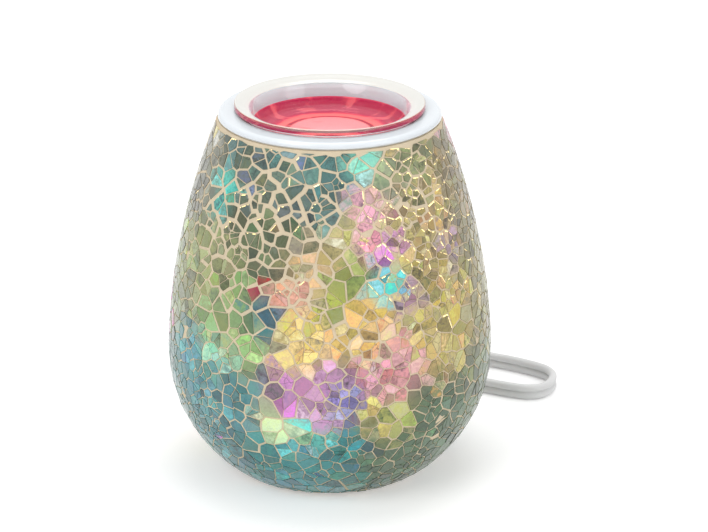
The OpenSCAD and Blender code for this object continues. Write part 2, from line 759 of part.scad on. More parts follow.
// From the switch to the coil's lowest turn, and from its highest turn to the plug.
coil_middle = [-14, 168];
coil_z = 0.8;
layer_z = flex_w + 0.2;
turn_gap = 0.2;
tail_route = [
    [-4, 112, 9], [-10, 112, 9], [-16.6, 113, 8.6], [-22.6, 116.4, 7.4], [-28, 121, 6.2],
    [-33.4, 126.2, 5.2], [-38.6, 131.6, 4.6], [-41.4, 136.2, 4.5]
];
end_route = [
    [-14, 210, 12.1], [-2, 209.4, 11.8], [10, 207, 10.8], [21, 202.8, 9.2], [31, 197, 7.6],
    [39.4, 190.2, 6], [46, 183.2, 5], [50.6, 177, 5.6], [52, 171, 6.2], [52, 166, 6.2]
];
end_twists = [0, 0, 4, 14, 30, 50, 70, 84, 90, 90];

module cord_tail() {
    color("white") sweep(section_points, tail_route);
}

coil_inner_r = coil_r - (coil_across - 0.5) * flex_t - (coil_across - 1) * turn_gap;
coil_outer_r = coil_r + flex_t / 2;
coil_h = coil_layers * layer_z;
module cord_coil() {
    corner = flex_t / 2;
    color("white") translate([coil_middle.x, coil_middle.y, coil_z]) rotate_extrude() {
        translate([coil_inner_r, corner]) square([coil_outer_r - coil_inner_r, coil_h - 2 * corner]);
        translate([coil_inner_r + corner, 0]) square([coil_outer_r - coil_inner_r - 2 * corner, coil_h]);
        for (x = [coil_inner_r + corner, coil_outer_r - corner], y = [corner, coil_h - corner])
            translate([x, y]) circle(r = corner, $fn = 32);
    }
}

module cord_end() {
    color("white") sweep(section_points, end_route, end_twists);
}

module cord_tie() {
    tie_w = 5;
    tie_t = 0.7;
    tie_angle = 205;
    span = coil_outer_r - coil_inner_r + 2 * seat_clear;
    color("whitesmoke") translate([coil_middle.x, coil_middle.y, 0]) rotate([0, 0, tie_angle])
        translate([coil_inner_r - seat_clear, -tie_w / 2, coil_z - seat_clear]) difference() {
            translate([-tie_t - 0.5, 0, -tie_t])
                cube([span + 2 * tie_t + 1, tie_w, coil_h + 2 * (tie_t + seat_clear)]);
            translate([-0.5, -1, 0]) cube([span + 1, tie_w + 2, coil_h + 2 * seat_clear]);
        }
}

// ---- Roller switch ----

roller_z = switch_h - roller_r + roller_out;
module at_roller() {
    translate([switch_middle.x, switch_middle.y, roller_z]) rotate([90, 0, 0]) children();
}

// Outline of the housing, along the flex: a long body with its ends drawn in round the flex.
module switch_outline(inset = 0) {
    corner = 4;
    end_r = switch_h / 2 - inset;
    straight = switch_len / 2 - switch_h / 2 - 2;
    for (side = [-1, 1]) {
        translate([side * straight, 0]) circle(r = end_r);
        translate([side * (switch_len / 4 - inset / 2), 0])
            square([switch_len / 2 - inset, flex_w + corner - 2 * inset], center = true);
    }
    square([2 * straight, 2 * end_r], center = true);
}

screw_x = switch_len / 2 - 8.5;
boss_r = 3;
switch_screw_r = 1.3;
switch_screw_z = flex_w / 2 + switch_screw_r + 0.3;
module switch_screw_places() {
    for (side = [-1, 1]) translate([side * screw_x, side * switch_screw_z]) children();
}

// One half of the housing, with its open side at z = 0 and its outside at z = -switch_t / 2.
module switch_half(screw_hole_r) {
    half = switch_t / 2;
    pocket_r = roller_r + 0.6;
    pocket_half = roller_t / 2 + 0.5;
    pocket_y = roller_z - switch_h / 2;
    difference() {
        translate([0, 0, -half]) linear_extrude(half) switch_outline();
        translate([0, 0, -half + switch_wall]) linear_extrude(half) difference() {
            switch_outline(switch_wall);
            for (x = [-1, 1]) translate([x * (screw_x + 7), 0])
                square([14, switch_h], center = true);
            switch_screw_places() circle(r = boss_r, $fn = 32);
            translate([0, pocket_y]) circle(r = spindle_r + 1.8);
        }
        translate([0, pocket_y, -pocket_half]) cylinder(r = pocket_r, h = 2 * pocket_half);
        rotate([0, 90, 0]) translate([0, 0, -switch_len])
            linear_extrude(2 * switch_len) flex_section(seat_clear);
        translate([0, pocket_y, -half + switch_wall / 2]) cylinder(r = spindle_r + seat_clear / 2, h = half);
        switch_screw_places() translate([0, 0, -half - 1]) cylinder(r = screw_hole_r, h = half + 2, $fn = 24);
    }
}

module switch_front() {
    color("white") translate(switch_middle) rotate([90, 0, 0]) mirror([0, 0, 1])
        switch_half(switch_screw_r + seat_clear);
}

module switch_back() {
    color("white") translate(switch_middle) rotate([90, 0, 0])
        switch_half(switch_screw_r + seat_clear);
}

module switch_roller() {
    grip_count = 30;
    grip_r = 0.45;
    color("whitesmoke") at_roller() difference() {
        translate([0, 0, -roller_t / 2]) cylinder(r = roller_r, h = roller_t);
        translate([0, 0, -roller_t]) cylinder(r = spindle_r + turn_clear, h = 2 * roller_t);
        for (i = [0 : grip_count - 1])
            rotate([0, 0, 360 * i / grip_count]) translate([roller_r, 0, -roller_t])
                cylinder(r = grip_r, h = 2 * roller_t, $fn = 16);
        for (side = [-1, 1]) translate([0, 0, side * (roller_t / 2 + 0.2) - 0.6])
            difference() {
                cylinder(r = roller_r - 2.2, h = 1.2);
                cylinder(r = spindle_r + 1.6, h = 1.2);
            }
    }
}

module switch_spindle() {
    spindle_len = switch_t - 2 * switch_wall;
    color("silver") at_roller() translate([0, 0, -spindle_len / 2])
        cylinder(r = spindle_r, h = spindle_len, $fn = 32);
}

module switch_contacts() {
    strip = [screw_x - boss_r - roller_r - 1, 0.6, 3];
    strip_x = (screw_x - boss_r + roller_r) / 2;
    floor_z = switch_wall + 0.1;
    color("gold") for (side = [-1, 1])
        translate([switch_middle.x + side * strip_x - strip.x / 2, switch_middle.y - strip.y / 2, floor_z])
            cube(strip);
}

module switch_screws() {
    head_r = 2.4;
    head_t = 1.2;
    color("silver") translate(switch_middle) rotate([90, 0, 0]) switch_screw_places() {
        translate([0, 0, -switch_t / 2 + 1]) cylinder(r = switch_screw_r, h = switch_t - 1, $fn = 24);
        difference() {
            translate([0, 0, switch_t / 2]) cylinder(r = head_r, h = head_t, $fn = 32);
            translate([-3, -0.35, switch_t / 2 + 0.5]) cube([6, 0.7, 1]);
        }
    }
}

// ---- Plug ----

plug_rear = end_route[len(end_route) - 1];
blade_gap = 12.7;
// One blade is wider than the other, so that the plug fits one way round only.
blade_ws = [6.35, 7.9];
blade_t = 1.5;

// Places its children with z out of the plug's face, x across its width and y up.
module at_plug() {
    translate(plug_rear) rotate([90, 0, 0]) children();
}

module plug_body() {
    rear_w = flex_w + 4;
    rear_t = flex_t + 4;
    grip_z = 0.55 * plug_len;
    corner = 2.5;
    module slab(w, t, z, h) {
        translate([0, 0, z]) linear_extrude(h) {
            square([w - 2 * corner, t], center = true);
            square([w, t - 2 * corner], center = true);
            for (x = [-1, 1], y = [-1, 1])
                translate([x * (w / 2 - corner), y * (t / 2 - corner)]) circle(r = corner, $fn = 24);
        }
    }
    waist_w = plug_w - 5;
    waist_t = plug_t - 2.5;
    groove = [0.6 * plug_w, 2, 1.2];
    groove_depth = 0.6;
    color("white") at_plug() difference() {
        union() {
            hull() {
                slab(rear_w, rear_t, 0, 0.5, $fn = 24);
                slab(waist_w, waist_t, grip_z - 4, 0.5, $fn = 24);
            }
            hull() {
                slab(waist_w, waist_t, grip_z - 3.5, 3.5, $fn = 24);
                slab(plug_w, plug_t, plug_len - 6, 6, $fn = 24);
            }
        }
        for (i = [0 : grip_grooves - 1], side = [-1, 1])
            let (
                z = grip_z - 2.6 + 2 * i * groove.z,
                half_t = lookup(z, [[grip_z, waist_t / 2], [plug_len - 6, plug_t / 2]])
            )
            translate([0, side * (half_t - groove_depth + groove.y / 2), z]) cube(groove, center = true);
    }
}

module plug_blades() {
    tip = 1.6;
    hole_r = 1.6;
    color("gold") at_plug() for (i = [0, 1]) {
        w = blade_ws[i];
        translate([(2 * i - 1) * blade_gap / 2, 0, plug_len]) rotate([0, -90, 90]) difference() {
            translate([0, 0, -w / 2]) linear_extrude(w) polygon([
                [0, -blade_t / 2], [blade_len - tip, -blade_t / 2], [blade_len, -blade_t / 4],
                [blade_len, blade_t / 4], [blade_len - tip, blade_t / 2], [0, blade_t / 2]
            ]);
            translate([blade_len - 4, blade_t, 0]) rotate([90, 0, 0])
                cylinder(r = hole_r, h = 2 * blade_t, $fn = 24);
        }
    }
}

glass_vessel();
grout_coat();
mosaic_chips();
mouth_gasket();
collar();
dish();
wax();
base_plate();
base_seal();
rubber_feet();
threaded_rod();
rod_nuts();
lock_washer();
lamp_holder();
screw_shell();
centre_contact();
terminal_screws();
bulb_glass();
bulb_stem();
bulb_filament();
bulb_supports();
bulb_cap();
bulb_insulator();
bulb_contact();
cord_bushing();
inner_cord();
lead_wires();
cord_lead();
cord_tail();
cord_coil();
cord_end();
cord_tie();
switch_front();
switch_back();
switch_roller();
switch_spindle();
switch_contacts();
switch_screws();
plug_body();
plug_blades();
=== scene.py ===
# Electric wax warmer: a mosaic vessel with a lamp inside, a glass dish of wax and a flat flex.
# Metres. The vessel stands on the origin, +Z is up and the flex leaves at the back, towards +Y.
import colorsys
import math
import random

import bmesh
import bpy
import numpy as np
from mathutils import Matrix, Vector, noise


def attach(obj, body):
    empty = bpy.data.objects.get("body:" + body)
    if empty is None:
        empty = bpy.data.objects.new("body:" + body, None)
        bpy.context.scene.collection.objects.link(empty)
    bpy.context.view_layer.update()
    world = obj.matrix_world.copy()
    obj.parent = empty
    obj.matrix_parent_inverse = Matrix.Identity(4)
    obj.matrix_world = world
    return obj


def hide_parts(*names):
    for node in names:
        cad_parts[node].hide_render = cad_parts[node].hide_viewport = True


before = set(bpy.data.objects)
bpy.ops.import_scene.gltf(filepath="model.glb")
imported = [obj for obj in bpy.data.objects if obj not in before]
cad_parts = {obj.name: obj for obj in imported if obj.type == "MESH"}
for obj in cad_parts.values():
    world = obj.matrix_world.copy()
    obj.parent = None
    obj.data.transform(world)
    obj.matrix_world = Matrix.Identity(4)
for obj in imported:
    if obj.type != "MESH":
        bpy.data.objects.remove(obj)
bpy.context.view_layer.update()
mm = 0.001
print("frame loaded:", len(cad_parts), "nodes")


def newObject(name, data):
    made = bpy.data.objects.new(name, data)
    bpy.context.scene.collection.objects.link(made)
    return made


# the camera stands in front and looks a little down
cameraSet = {
    "aim": (0.0, 0.0, 0.0825),      # the middle of the vessel
    "distance": 1.298,
    "elevation": 20.9,              # degrees above the table
    "lens": 151.8,
    "shift": (0.0342, 0.0230),
    "clip": (0.05, 50),
}


def makeCamera():
    c, tilt = cameraSet, math.radians(cameraSet["elevation"])
    camera = newObject("camera", bpy.data.cameras.new("camera"))
    camera.location = Vector(c["aim"]) + Vector((0, -math.cos(tilt), math.sin(tilt))) * c["distance"]
    camera.rotation_euler = (math.pi / 2 - tilt, 0, 0)
    camera.data.lens = c["lens"]
    camera.data.shift_x, camera.data.shift_y = c["shift"]
    camera.data.clip_start, camera.data.clip_end = c["clip"]
    bpy.context.scene.camera = camera


makeCamera()


# helpers for colours and nodes
def linear(colour):
    # a screen colour, 0 to 1, as the linear colour that a shader takes
    return tuple(c / 12.92 if c <= 0.04045 else ((c + 0.055) / 1.055) ** 2.4 for c in colour)


def rgba(*colour):
    return (*linear(c / 255 for c in colour), 1.0)


def socketOf(sockets, key):
    if isinstance(key, int):
        return sockets[key]
    for socket in sockets:
        if socket.name == key and socket.enabled:
            return socket
    raise KeyError(f"no socket {key!r} among {[s.name for s in sockets]}")


def fill(tree, node, inputs):
    # a socket is linked to the node's input, and anything else becomes the input's value
    for key, value in inputs.items():
        socket = socketOf(node.inputs, key)
        if isinstance(value, bpy.types.NodeSocket):
            tree.links.new(value, socket)
        else:
            socket.default_value = value


def put(tree, kind, inputs=None, **settings):
    made = tree.nodes.new(kind)
    for name, value in settings.items():
        setattr(made, name, value)
    fill(tree, made, inputs or {})
    return made


def out(made, key=0):
    return socketOf(made.outputs, key)


def take(tree, kind, inputs=None, give=0, **settings):
    # adds a node and returns one of its outputs
    return out(put(tree, kind, inputs, **settings), give)


def sums(tree, operation, *values, **settings):
    return take(tree, "ShaderNodeMath", dict(enumerate(values)), operation=operation, **settings)


def vectors(tree, operation, *values, scale=None):
    inputs = dict(enumerate(values))
    if scale is not None:
        inputs["Scale"] = scale
    plain = operation in ("DOT_PRODUCT", "LENGTH", "DISTANCE")
    return take(tree, "ShaderNodeVectorMath", inputs, "Value" if plain else "Vector", operation=operation)


def noiseOf(tree, place, scale, give="Fac", **more):
    # soft noise at a place, or at the point's own position where place is None
    inputs = {"Scale": scale, **{key.capitalize(): value for key, value in more.items()}}
    if place is not None:
        inputs["Vector"] = place
    return take(tree, "ShaderNodeTexNoise", inputs, give)


def remap(tree, value, low, high, newLow=0.0, newHigh=1.0):
    return take(tree, "ShaderNodeMapRange", {"Value": value, "From Min": low, "From Max": high,
                                             "To Min": newLow, "To Max": newHigh})


def mixed(tree, share, first, second, **settings):
    return put(tree, "ShaderNodeMix", {"Factor": share, 6: first, 7: second}, data_type="RGBA",
               **settings).outputs[2]


def shade(tree, tone):
    return take(tree, "ShaderNodeCombineColor", {0: tone, 1: tone, 2: tone})


def bumped(tree, height, strength, distance):
    return take(tree, "ShaderNodeBump", {"Height": height, "Strength": strength, "Distance": distance})


def objectPlace(tree):
    return take(tree, "ShaderNodeTexCoord", give="Object")


def newGroup(name, kind, takes, gives):
    tree = bpy.data.node_groups.new(name, kind)
    for way, sockets in (("INPUT", takes), ("OUTPUT", gives)):
        for label, (sort, start) in sockets.items():
            made = tree.interface.new_socket(label, in_out=way, socket_type="NodeSocket" + sort)
            if start is not None:
                made.default_value = start
    return tree, tree.nodes.new("NodeGroupInput").outputs, tree.nodes.new("NodeGroupOutput")


# shader groups that several finishes share
def makeGrainGroup():
    # fine grain and slow blotches: a tone to multiply by, a roughness to add and a height
    slowSize, fineShare, slowShare, gain = 14.0, 0.45, 0.55, 4.0
    tree, given, result = newGroup(
        "surfaceGrain", "ShaderNodeTree",
        {"Grain Size": ("Float", 0.001), "Tone Spread": ("Float", 0.05), "Gloss Spread": ("Float", 0.1)},
        {"Tone": ("Color", None), "Roughness Shift": ("Float", None), "Height": ("Float", None)})
    place, scale = objectPlace(tree), sums(tree, "DIVIDE", 1.0, given["Grain Size"])
    fine = noiseOf(tree, place, scale, detail=3.0)
    slow = noiseOf(tree, place, sums(tree, "DIVIDE", scale, slowSize), detail=2.0)
    both = sums(tree, "ADD", sums(tree, "MULTIPLY", fine, fineShare),
                sums(tree, "MULTIPLY", slow, slowShare))
    centred = sums(tree, "SUBTRACT", both, 0.5)
    toneGain = sums(tree, "MULTIPLY", given["Tone Spread"], gain)
    glossGain = sums(tree, "MULTIPLY", given["Gloss Spread"], gain)
    fill(tree, result, {"Tone": shade(tree, sums(tree, "MULTIPLY_ADD", centred, toneGain, 1.0)),
                        "Roughness Shift": sums(tree, "MULTIPLY", centred, glossGain), "Height": fine})
    return tree


def makeDustGroup():
    # a little dust on what faces up: a mask
    tree, given, result = newGroup(
        "settledDust", "ShaderNodeTree",
        {"Amount": ("Float", 0.2), "Patch Size": ("Float", 0.01)}, {"Mask": ("Float", None)})
    normal = take(tree, "ShaderNodeNewGeometry", give="Normal")
    facing = remap(tree, take(tree, "ShaderNodeSeparateXYZ", {0: normal}, "Z"), 0.3, 1.0)
    scale = sums(tree, "DIVIDE", 1.0, given["Patch Size"])
    patchy = remap(tree, noiseOf(tree, objectPlace(tree), scale, detail=4.0), 0.35, 0.7)
    mask = sums(tree, "MULTIPLY", sums(tree, "MULTIPLY", facing, patchy), given["Amount"])
    fill(tree, result, {"Mask": mask})
    return tree


grainGroup, dustGroup = makeGrainGroup(), makeDustGroup()
dustColour = (190, 186, 178)


def newFinish(name):
    finish = bpy.data.materials.new(name)
    finish.use_nodes = True
    return finish, finish.node_tree, finish.node_tree.nodes["Principled BSDF"]


def grainFor(tree, roughness, grainSize, toneSpread, glossSpread):
    # the grain group's node, and a roughness that it makes uneven
    grain = put(tree, "ShaderNodeGroup", node_tree=grainGroup)
    fill(tree, grain, {"Grain Size": grainSize, "Tone Spread": toneSpread, "Gloss Spread": glossSpread})
    return grain, sums(tree, "ADD", out(grain, "Roughness Shift"), roughness, use_clamp=True)


def grained(name, colour, roughness, grainSize=0.8 * mm, toneSpread=0.05, glossSpread=0.08,
            bump=0.05, dust=0.0, **plain):
    # a finish of one colour with grain in its tone, gloss and height, and dust on top
    finish, tree, shader = newFinish(name)
    grain, rough = grainFor(tree, roughness, grainSize, toneSpread, glossSpread)
    shown = mixed(tree, 1.0, rgba(*colour), out(grain, "Tone"), blend_type="MULTIPLY")
    if dust:
        dusty = put(tree, "ShaderNodeGroup", node_tree=dustGroup)
        fill(tree, dusty, {"Amount": dust})
        shown = mixed(tree, out(dusty, "Mask"), shown, rgba(*dustColour))
    fill(tree, shader, {"Base Color": shown, "Roughness": rough,
                        "Normal": bumped(tree, out(grain, "Height"), bump, 0.3 * mm), **plain})
    return finish


def glossy(name, colour, roughness, grainSize, glossSpread, **plain):
    # a finish of plain colour whose gloss alone is uneven, as on glass and bright wire
    finish, tree, shader = newFinish(name)
    _, rough = grainFor(tree, roughness, grainSize, 0.0, glossSpread)
    fill(tree, shader, {"Base Color": rgba(*colour), "Roughness": rough, **plain})
    return finish


# helpers for meshes
def toObject(name, mesh, smoothBelow):
    made = newObject(name, mesh)
    mesh.shade_smooth()
    mesh.set_sharp_from_angle(angle=math.radians(smoothBelow))
    return made


def closedMesh(name, points, faces):
    # a mesh of closed shells with its faces turned outwards
    mesh = bpy.data.meshes.new(name)
    mesh.from_pydata([tuple(p) for p in points], [], faces)
    shape = bmesh.new()
    shape.from_mesh(mesh)
    bmesh.ops.remove_doubles(shape, verts=shape.verts, dist=1e-7)
    bmesh.ops.recalc_face_normals(shape, faces=shape.faces)
    shape.to_mesh(mesh)
    shape.free()
    return mesh


def rowFaces(rows, steps, ring=False):
    # faces between rows of points that run right round; a ring's last row joins its first
    faces = []
    for i in range(rows if ring else rows - 1):
        a, b = i * steps, (i + 1) % rows * steps
        for k in range(steps):
            n = (k + 1) % steps
            faces.append((a + k, a + n, b + n, b + k))
    return faces


def lathe(name, outline, steps, radiusAt=None, ring=False, smoothBelow=35):
    # turns an outline of (radius, height) about the vessel's axis
    points = []
    for r, z in outline:
        for k in range(steps):
            turn = 2 * math.pi * k / steps
            reach = radiusAt(r, z, turn) if radiusAt else r
            points.append((reach * math.sin(turn), -reach * math.cos(turn), z))
    return toObject(name, closedMesh(name, points, rowFaces(len(outline), steps, ring)), smoothBelow)


def arc(x, z, r, start, end, steps):
    turns = [math.radians(start + (end - start) * i / steps) for i in range(steps + 1)]
    return [(x + r * math.cos(t), z + r * math.sin(t)) for t in turns]


def scaled(points):
    # millimetres to metres
    return [tuple(c * mm for c in p) for p in points]


def throughPoints(points, step):
    # a smooth line through the points, and at each place on it the number of the point it has reached
    spots = [Vector(p) for p in points]
    ends = [2 * spots[0] - spots[1]] + spots + [2 * spots[-1] - spots[-2]]
    line, reached = [], []
    for i in range(len(spots) - 1):
        before, start, end, after = ends[i:i + 4]
        gapIn, gap, gapOut = ((b - a).length ** 0.5 for a, b in ((before, start), (start, end), (end, after)))
        leave = ((start - before) / gapIn - (end - before) / (gapIn + gap) + (end - start) / gap) * gap
        arrive = ((end - start) / gap - (after - start) / (gap + gapOut) + (after - end) / gapOut) * gap
        count = max(1, round((end - start).length / step))
        for k in range(count):
            t = k / count
            line.append((2 * t ** 3 - 3 * t ** 2 + 1) * start + (t ** 3 - 2 * t ** 2 + t) * leave
                        + (3 * t ** 2 - 2 * t ** 3) * end + (t ** 3 - t ** 2) * arrive)
            reached.append(i + t)
    return line + [spots[-1]], reached + [len(spots) - 1.0]


def sweep(name, section, line, twists):
    # a closed tube of that section along a line; a twist of 0 keeps the section's y upright
    points, last, count = [], len(line) - 1, len(section)
    for i, (at, twist) in enumerate(zip(line, twists)):
        way = (line[min(i + 1, last)] - line[max(i - 1, 0)]).normalized()
        side = way.cross(Vector((0, 0, 1))).normalized()
        up = side.cross(way)
        c, s = math.cos(math.radians(twist)), math.sin(math.radians(twist))
        points += [at + side * (x * c - y * s) + up * (x * s + y * c) for x, y in section]
    caps = [tuple(range(count)), tuple(last * count + k for k in reversed(range(count)))]
    return toObject(name, closedMesh(name, points, rowFaces(len(line), count) + caps), smoothBelow=50)


# the vessel's shape, which the skin, the grout and the flex's exit share
vesselSet = {
    "top": 158.2, "foot": 1.5, "belly": 53,         # heights
    "mouthR": 48.2, "bellyR": 70.6, "footR": 43.5,
    "shoulderPower": 1.86, "heelReach": 1.25,
}


def bodyRadius(z):
    # radius of the chips' faces at height z, in millimetres, also a little past both edges
    v = vesselSet
    if z >= v["belly"]:
        share = (z - v["belly"]) / (v["top"] - v["belly"])
        return v["bellyR"] - (v["bellyR"] - v["mouthR"]) * share ** v["shoulderPower"]
    heel = (v["belly"] - v["foot"]) * v["heelReach"]

    def drop(h):
        return 1 - math.sqrt(1 - (h / heel) ** 2)
    return v["bellyR"] - (v["bellyR"] - v["footR"]) * drop(v["belly"] - z) / drop(v["belly"] - v["foot"])


def bodySlope(z):
    near = 0.05
    return (bodyRadius(z + near) - bodyRadius(z - near)) / (2 * near)


def skinRadius(z, depth):
    return bodyRadius(z) - depth * math.hypot(1, bodySlope(z))


# the flex: out of its bushing, round on the table, through the switch, into the coil, to the plug
flexSet = {
    "width": 7.4, "thickness": 3.7, "web": 0.8,     # web: the thickness between its two cores
    "exitHeight": 18, "noseLength": 20, "noseSeat": 1.75,
    "tableHeight": 3.8,                             # of its middle where it lies on its edge
    "coilMiddle": (-14, 168), "coilRadii": (41.96, 38.1, 34.2), "coilHeights": (4.5, 12.1),
    "coilStart": 229.25, "coilEnd": 90,             # degrees, and the turns run clockwise from above
    "coilStep": 8,                                  # degrees between two points of a turn
    "jog": 40,                                      # degrees in which a turn moves over to the next
    "ringStep": 1.6,
    "inside": 8.95,                                 # how far it runs straight into the vessel
    "innerStep": 1.5,
    "wireR": 1.66, "wireStep": 0.8,                 # each core by itself, on its way to a screw
}
exitFall = math.atan(bodySlope(flexSet["exitHeight"]))
exitWay = Vector((0, math.cos(exitFall), -math.sin(exitFall)))
exitMiddle = Vector((0, bodyRadius(flexSet["exitHeight"]), flexSet["exitHeight"]))
exitMouth = exitMiddle + exitWay * (flexSet["noseLength"] - flexSet["noseSeat"])


def flexSection():
    # two round cores with a web between them, as (thickness, width) points
    r = flexSet["thickness"] / 2
    apart = (flexSet["width"] - flexSet["thickness"]) / 2
    half = 180 - math.degrees(math.asin(flexSet["web"] / 2 / r))
    lobe = arc(0, 0, r, 90 - half, 90 + half, 12)
    return [(x * mm, (y + apart) * mm) for x, y in lobe] + [(-x * mm, -(y + apart) * mm) for x, y in lobe]


def coilPoints():
    # three turns inwards, up, and outwards again over them
    f = flexSet
    radii, heights, middle, found = f["coilRadii"], f["coilHeights"], f["coilMiddle"], []
    # degrees turned, and the radius or the height that is reached there
    moves = [(360, radii[1], None), (720, radii[2], None), (1035, None, heights[1]),
             (1350, radii[1], None), (1710, radii[0], None)]
    total = 5 * 360 + f["coilStart"] - f["coilEnd"]
    for k in range(1, int(total // f["coilStep"]) + 1):
        turned, r, z = k * f["coilStep"], radii[0], heights[0]
        for end, newR, newZ in moves:
            share = min(1.0, max(0.0, (turned - end + f["jog"]) / f["jog"]))
            share = share * share * (3 - 2 * share)
            r += (newR - r) * share if newR else 0
            z += (newZ - z) * share if newZ else 0
        if total - turned > f["coilStep"] / 2:
            a = math.radians(f["coilStart"] - turned)
            found.append((middle[0] + r * math.cos(a), middle[1] + r * math.sin(a), z))
    return found


def makeFlex():
    table = flexSet["tableHeight"]
    lead = [exitMiddle, exitMiddle + exitWay * flexSet["noseLength"] / 2, exitMouth] + [
        (0, 78.7, 5.5), (0.4, 82.4, 3.7), (2.4, 87, 2.8), (7, 91.2, 2.8), (14, 93.8, 3.1),
        (22, 93.2, 3.5), (31, 90.4, table), (42, 85.8, table), (54, 80.2, table),
        (66, 74.4, table), (76, 69.6, table), (84, 65.8, table), (91, 63.6, table),
        (97, 64.4, table), (101.2, 68.2, table), (103.8, 74, table), (104.4, 80.4, table),
        (102.4, 86, table), (98, 90.4, table), (92.4, 94.4, table), (85, 98.8, table),
        (77, 102.8, table), (68, 106.4, 4.6), (59, 109.6, 6.6), (50, 111.6, 8.6), (44, 112, 9),
        (38, 112, 9)]
    leadTwists = [90, 90, 90, 90, 90, 86, 74, 56, 36, 18, 6]
    throughSwitch = [(28, 112, 9), (17, 112, 9), (6, 112, 9)]
    tail = [(-4, 112, 9), (-10, 112, 9), (-16.6, 113, 8.6), (-22.6, 116.4, 7.4), (-28, 121, 6.2),
            (-33.4, 126.2, 5.2), (-38.6, 131.6, 4.6), (-41.4, 136.2, 4.5)]
    end = [(-14, 209.95, 12.1), (-2, 209.4, 11.8), (10, 207, 10.8), (21, 202.8, 9.2), (31, 197, 7.6),
           (39.4, 190.2, 6), (46, 183.2, 5), (50.6, 177, 5.6), (52, 171, 6.2), (52, 166, 6.2)]
    endTwists = [0, 0, 4, 14, 30, 50, 70, 84, 90, 90]
    route = lead + throughSwitch + tail + coilPoints() + end
    twists = leadTwists + [0] * (len(route) - len(leadTwists) - len(endTwists)) + endTwists
    line, reached = throughPoints(scaled(route), flexSet["ringStep"] * mm)
    made = sweep("flex", flexSection(), line, np.interp(reached, range(len(twists)), twists))
    return made, line, sum((b - a).length for a, b in zip(line, line[1:]))


flex, flexLine, flexLength = makeFlex()
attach(flex, "warmer")
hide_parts("cord_lead", "cord_tail", "cord_coil", "cord_end")
print(f"flex: {flexLength:.3f} m long")


def makeInnerFlex():
    route = [exitMiddle, exitMiddle - exitWay * flexSet["inside"]] + [
        (0, 46, 26.6), (0, 40, 28.6), (0, 34, 29.2), (0, 28, 29.2), (0, 22.4, 30), (0, 18.6, 31.6)]
    line, _ = throughPoints(scaled(route), flexSet["innerStep"] * mm)
    return sweep("innerFlex", flexSection(), line, [90] * len(line))


def makeLeadWire(name, side):
    # a core of the flex goes round the lamp holder to its own screw
    route = [(1.9, 18.45, 31.7), (2.1, 16.5, 32.5), (4.6, 14.8, 34.2), (8.6, 13.6, 36.2),
             (12.2, 11.6, 37.8), (14.5, 8, 38.8), (14.9, 3.5, 39)]
    line, _ = throughPoints(scaled([(side * x, y, z) for x, y, z in route]), flexSet["wireStep"] * mm)
    r = flexSet["wireR"] * mm
    ring = [(r * math.cos(a), r * math.sin(a)) for a in np.linspace(0, 2 * math.pi, 17)[:-1]]
    return sweep(name, ring, line, [0] * len(line))


innerFlex = makeInnerFlex()
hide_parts("inner_cord")
leadWires = [makeLeadWire("leadWireLeft", -1), makeLeadWire("leadWireRight", 1)]
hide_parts("lead_wires")
for piece in [innerFlex, *leadWires]:
    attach(piece, "warmer")
print("flex inside the vessel done")


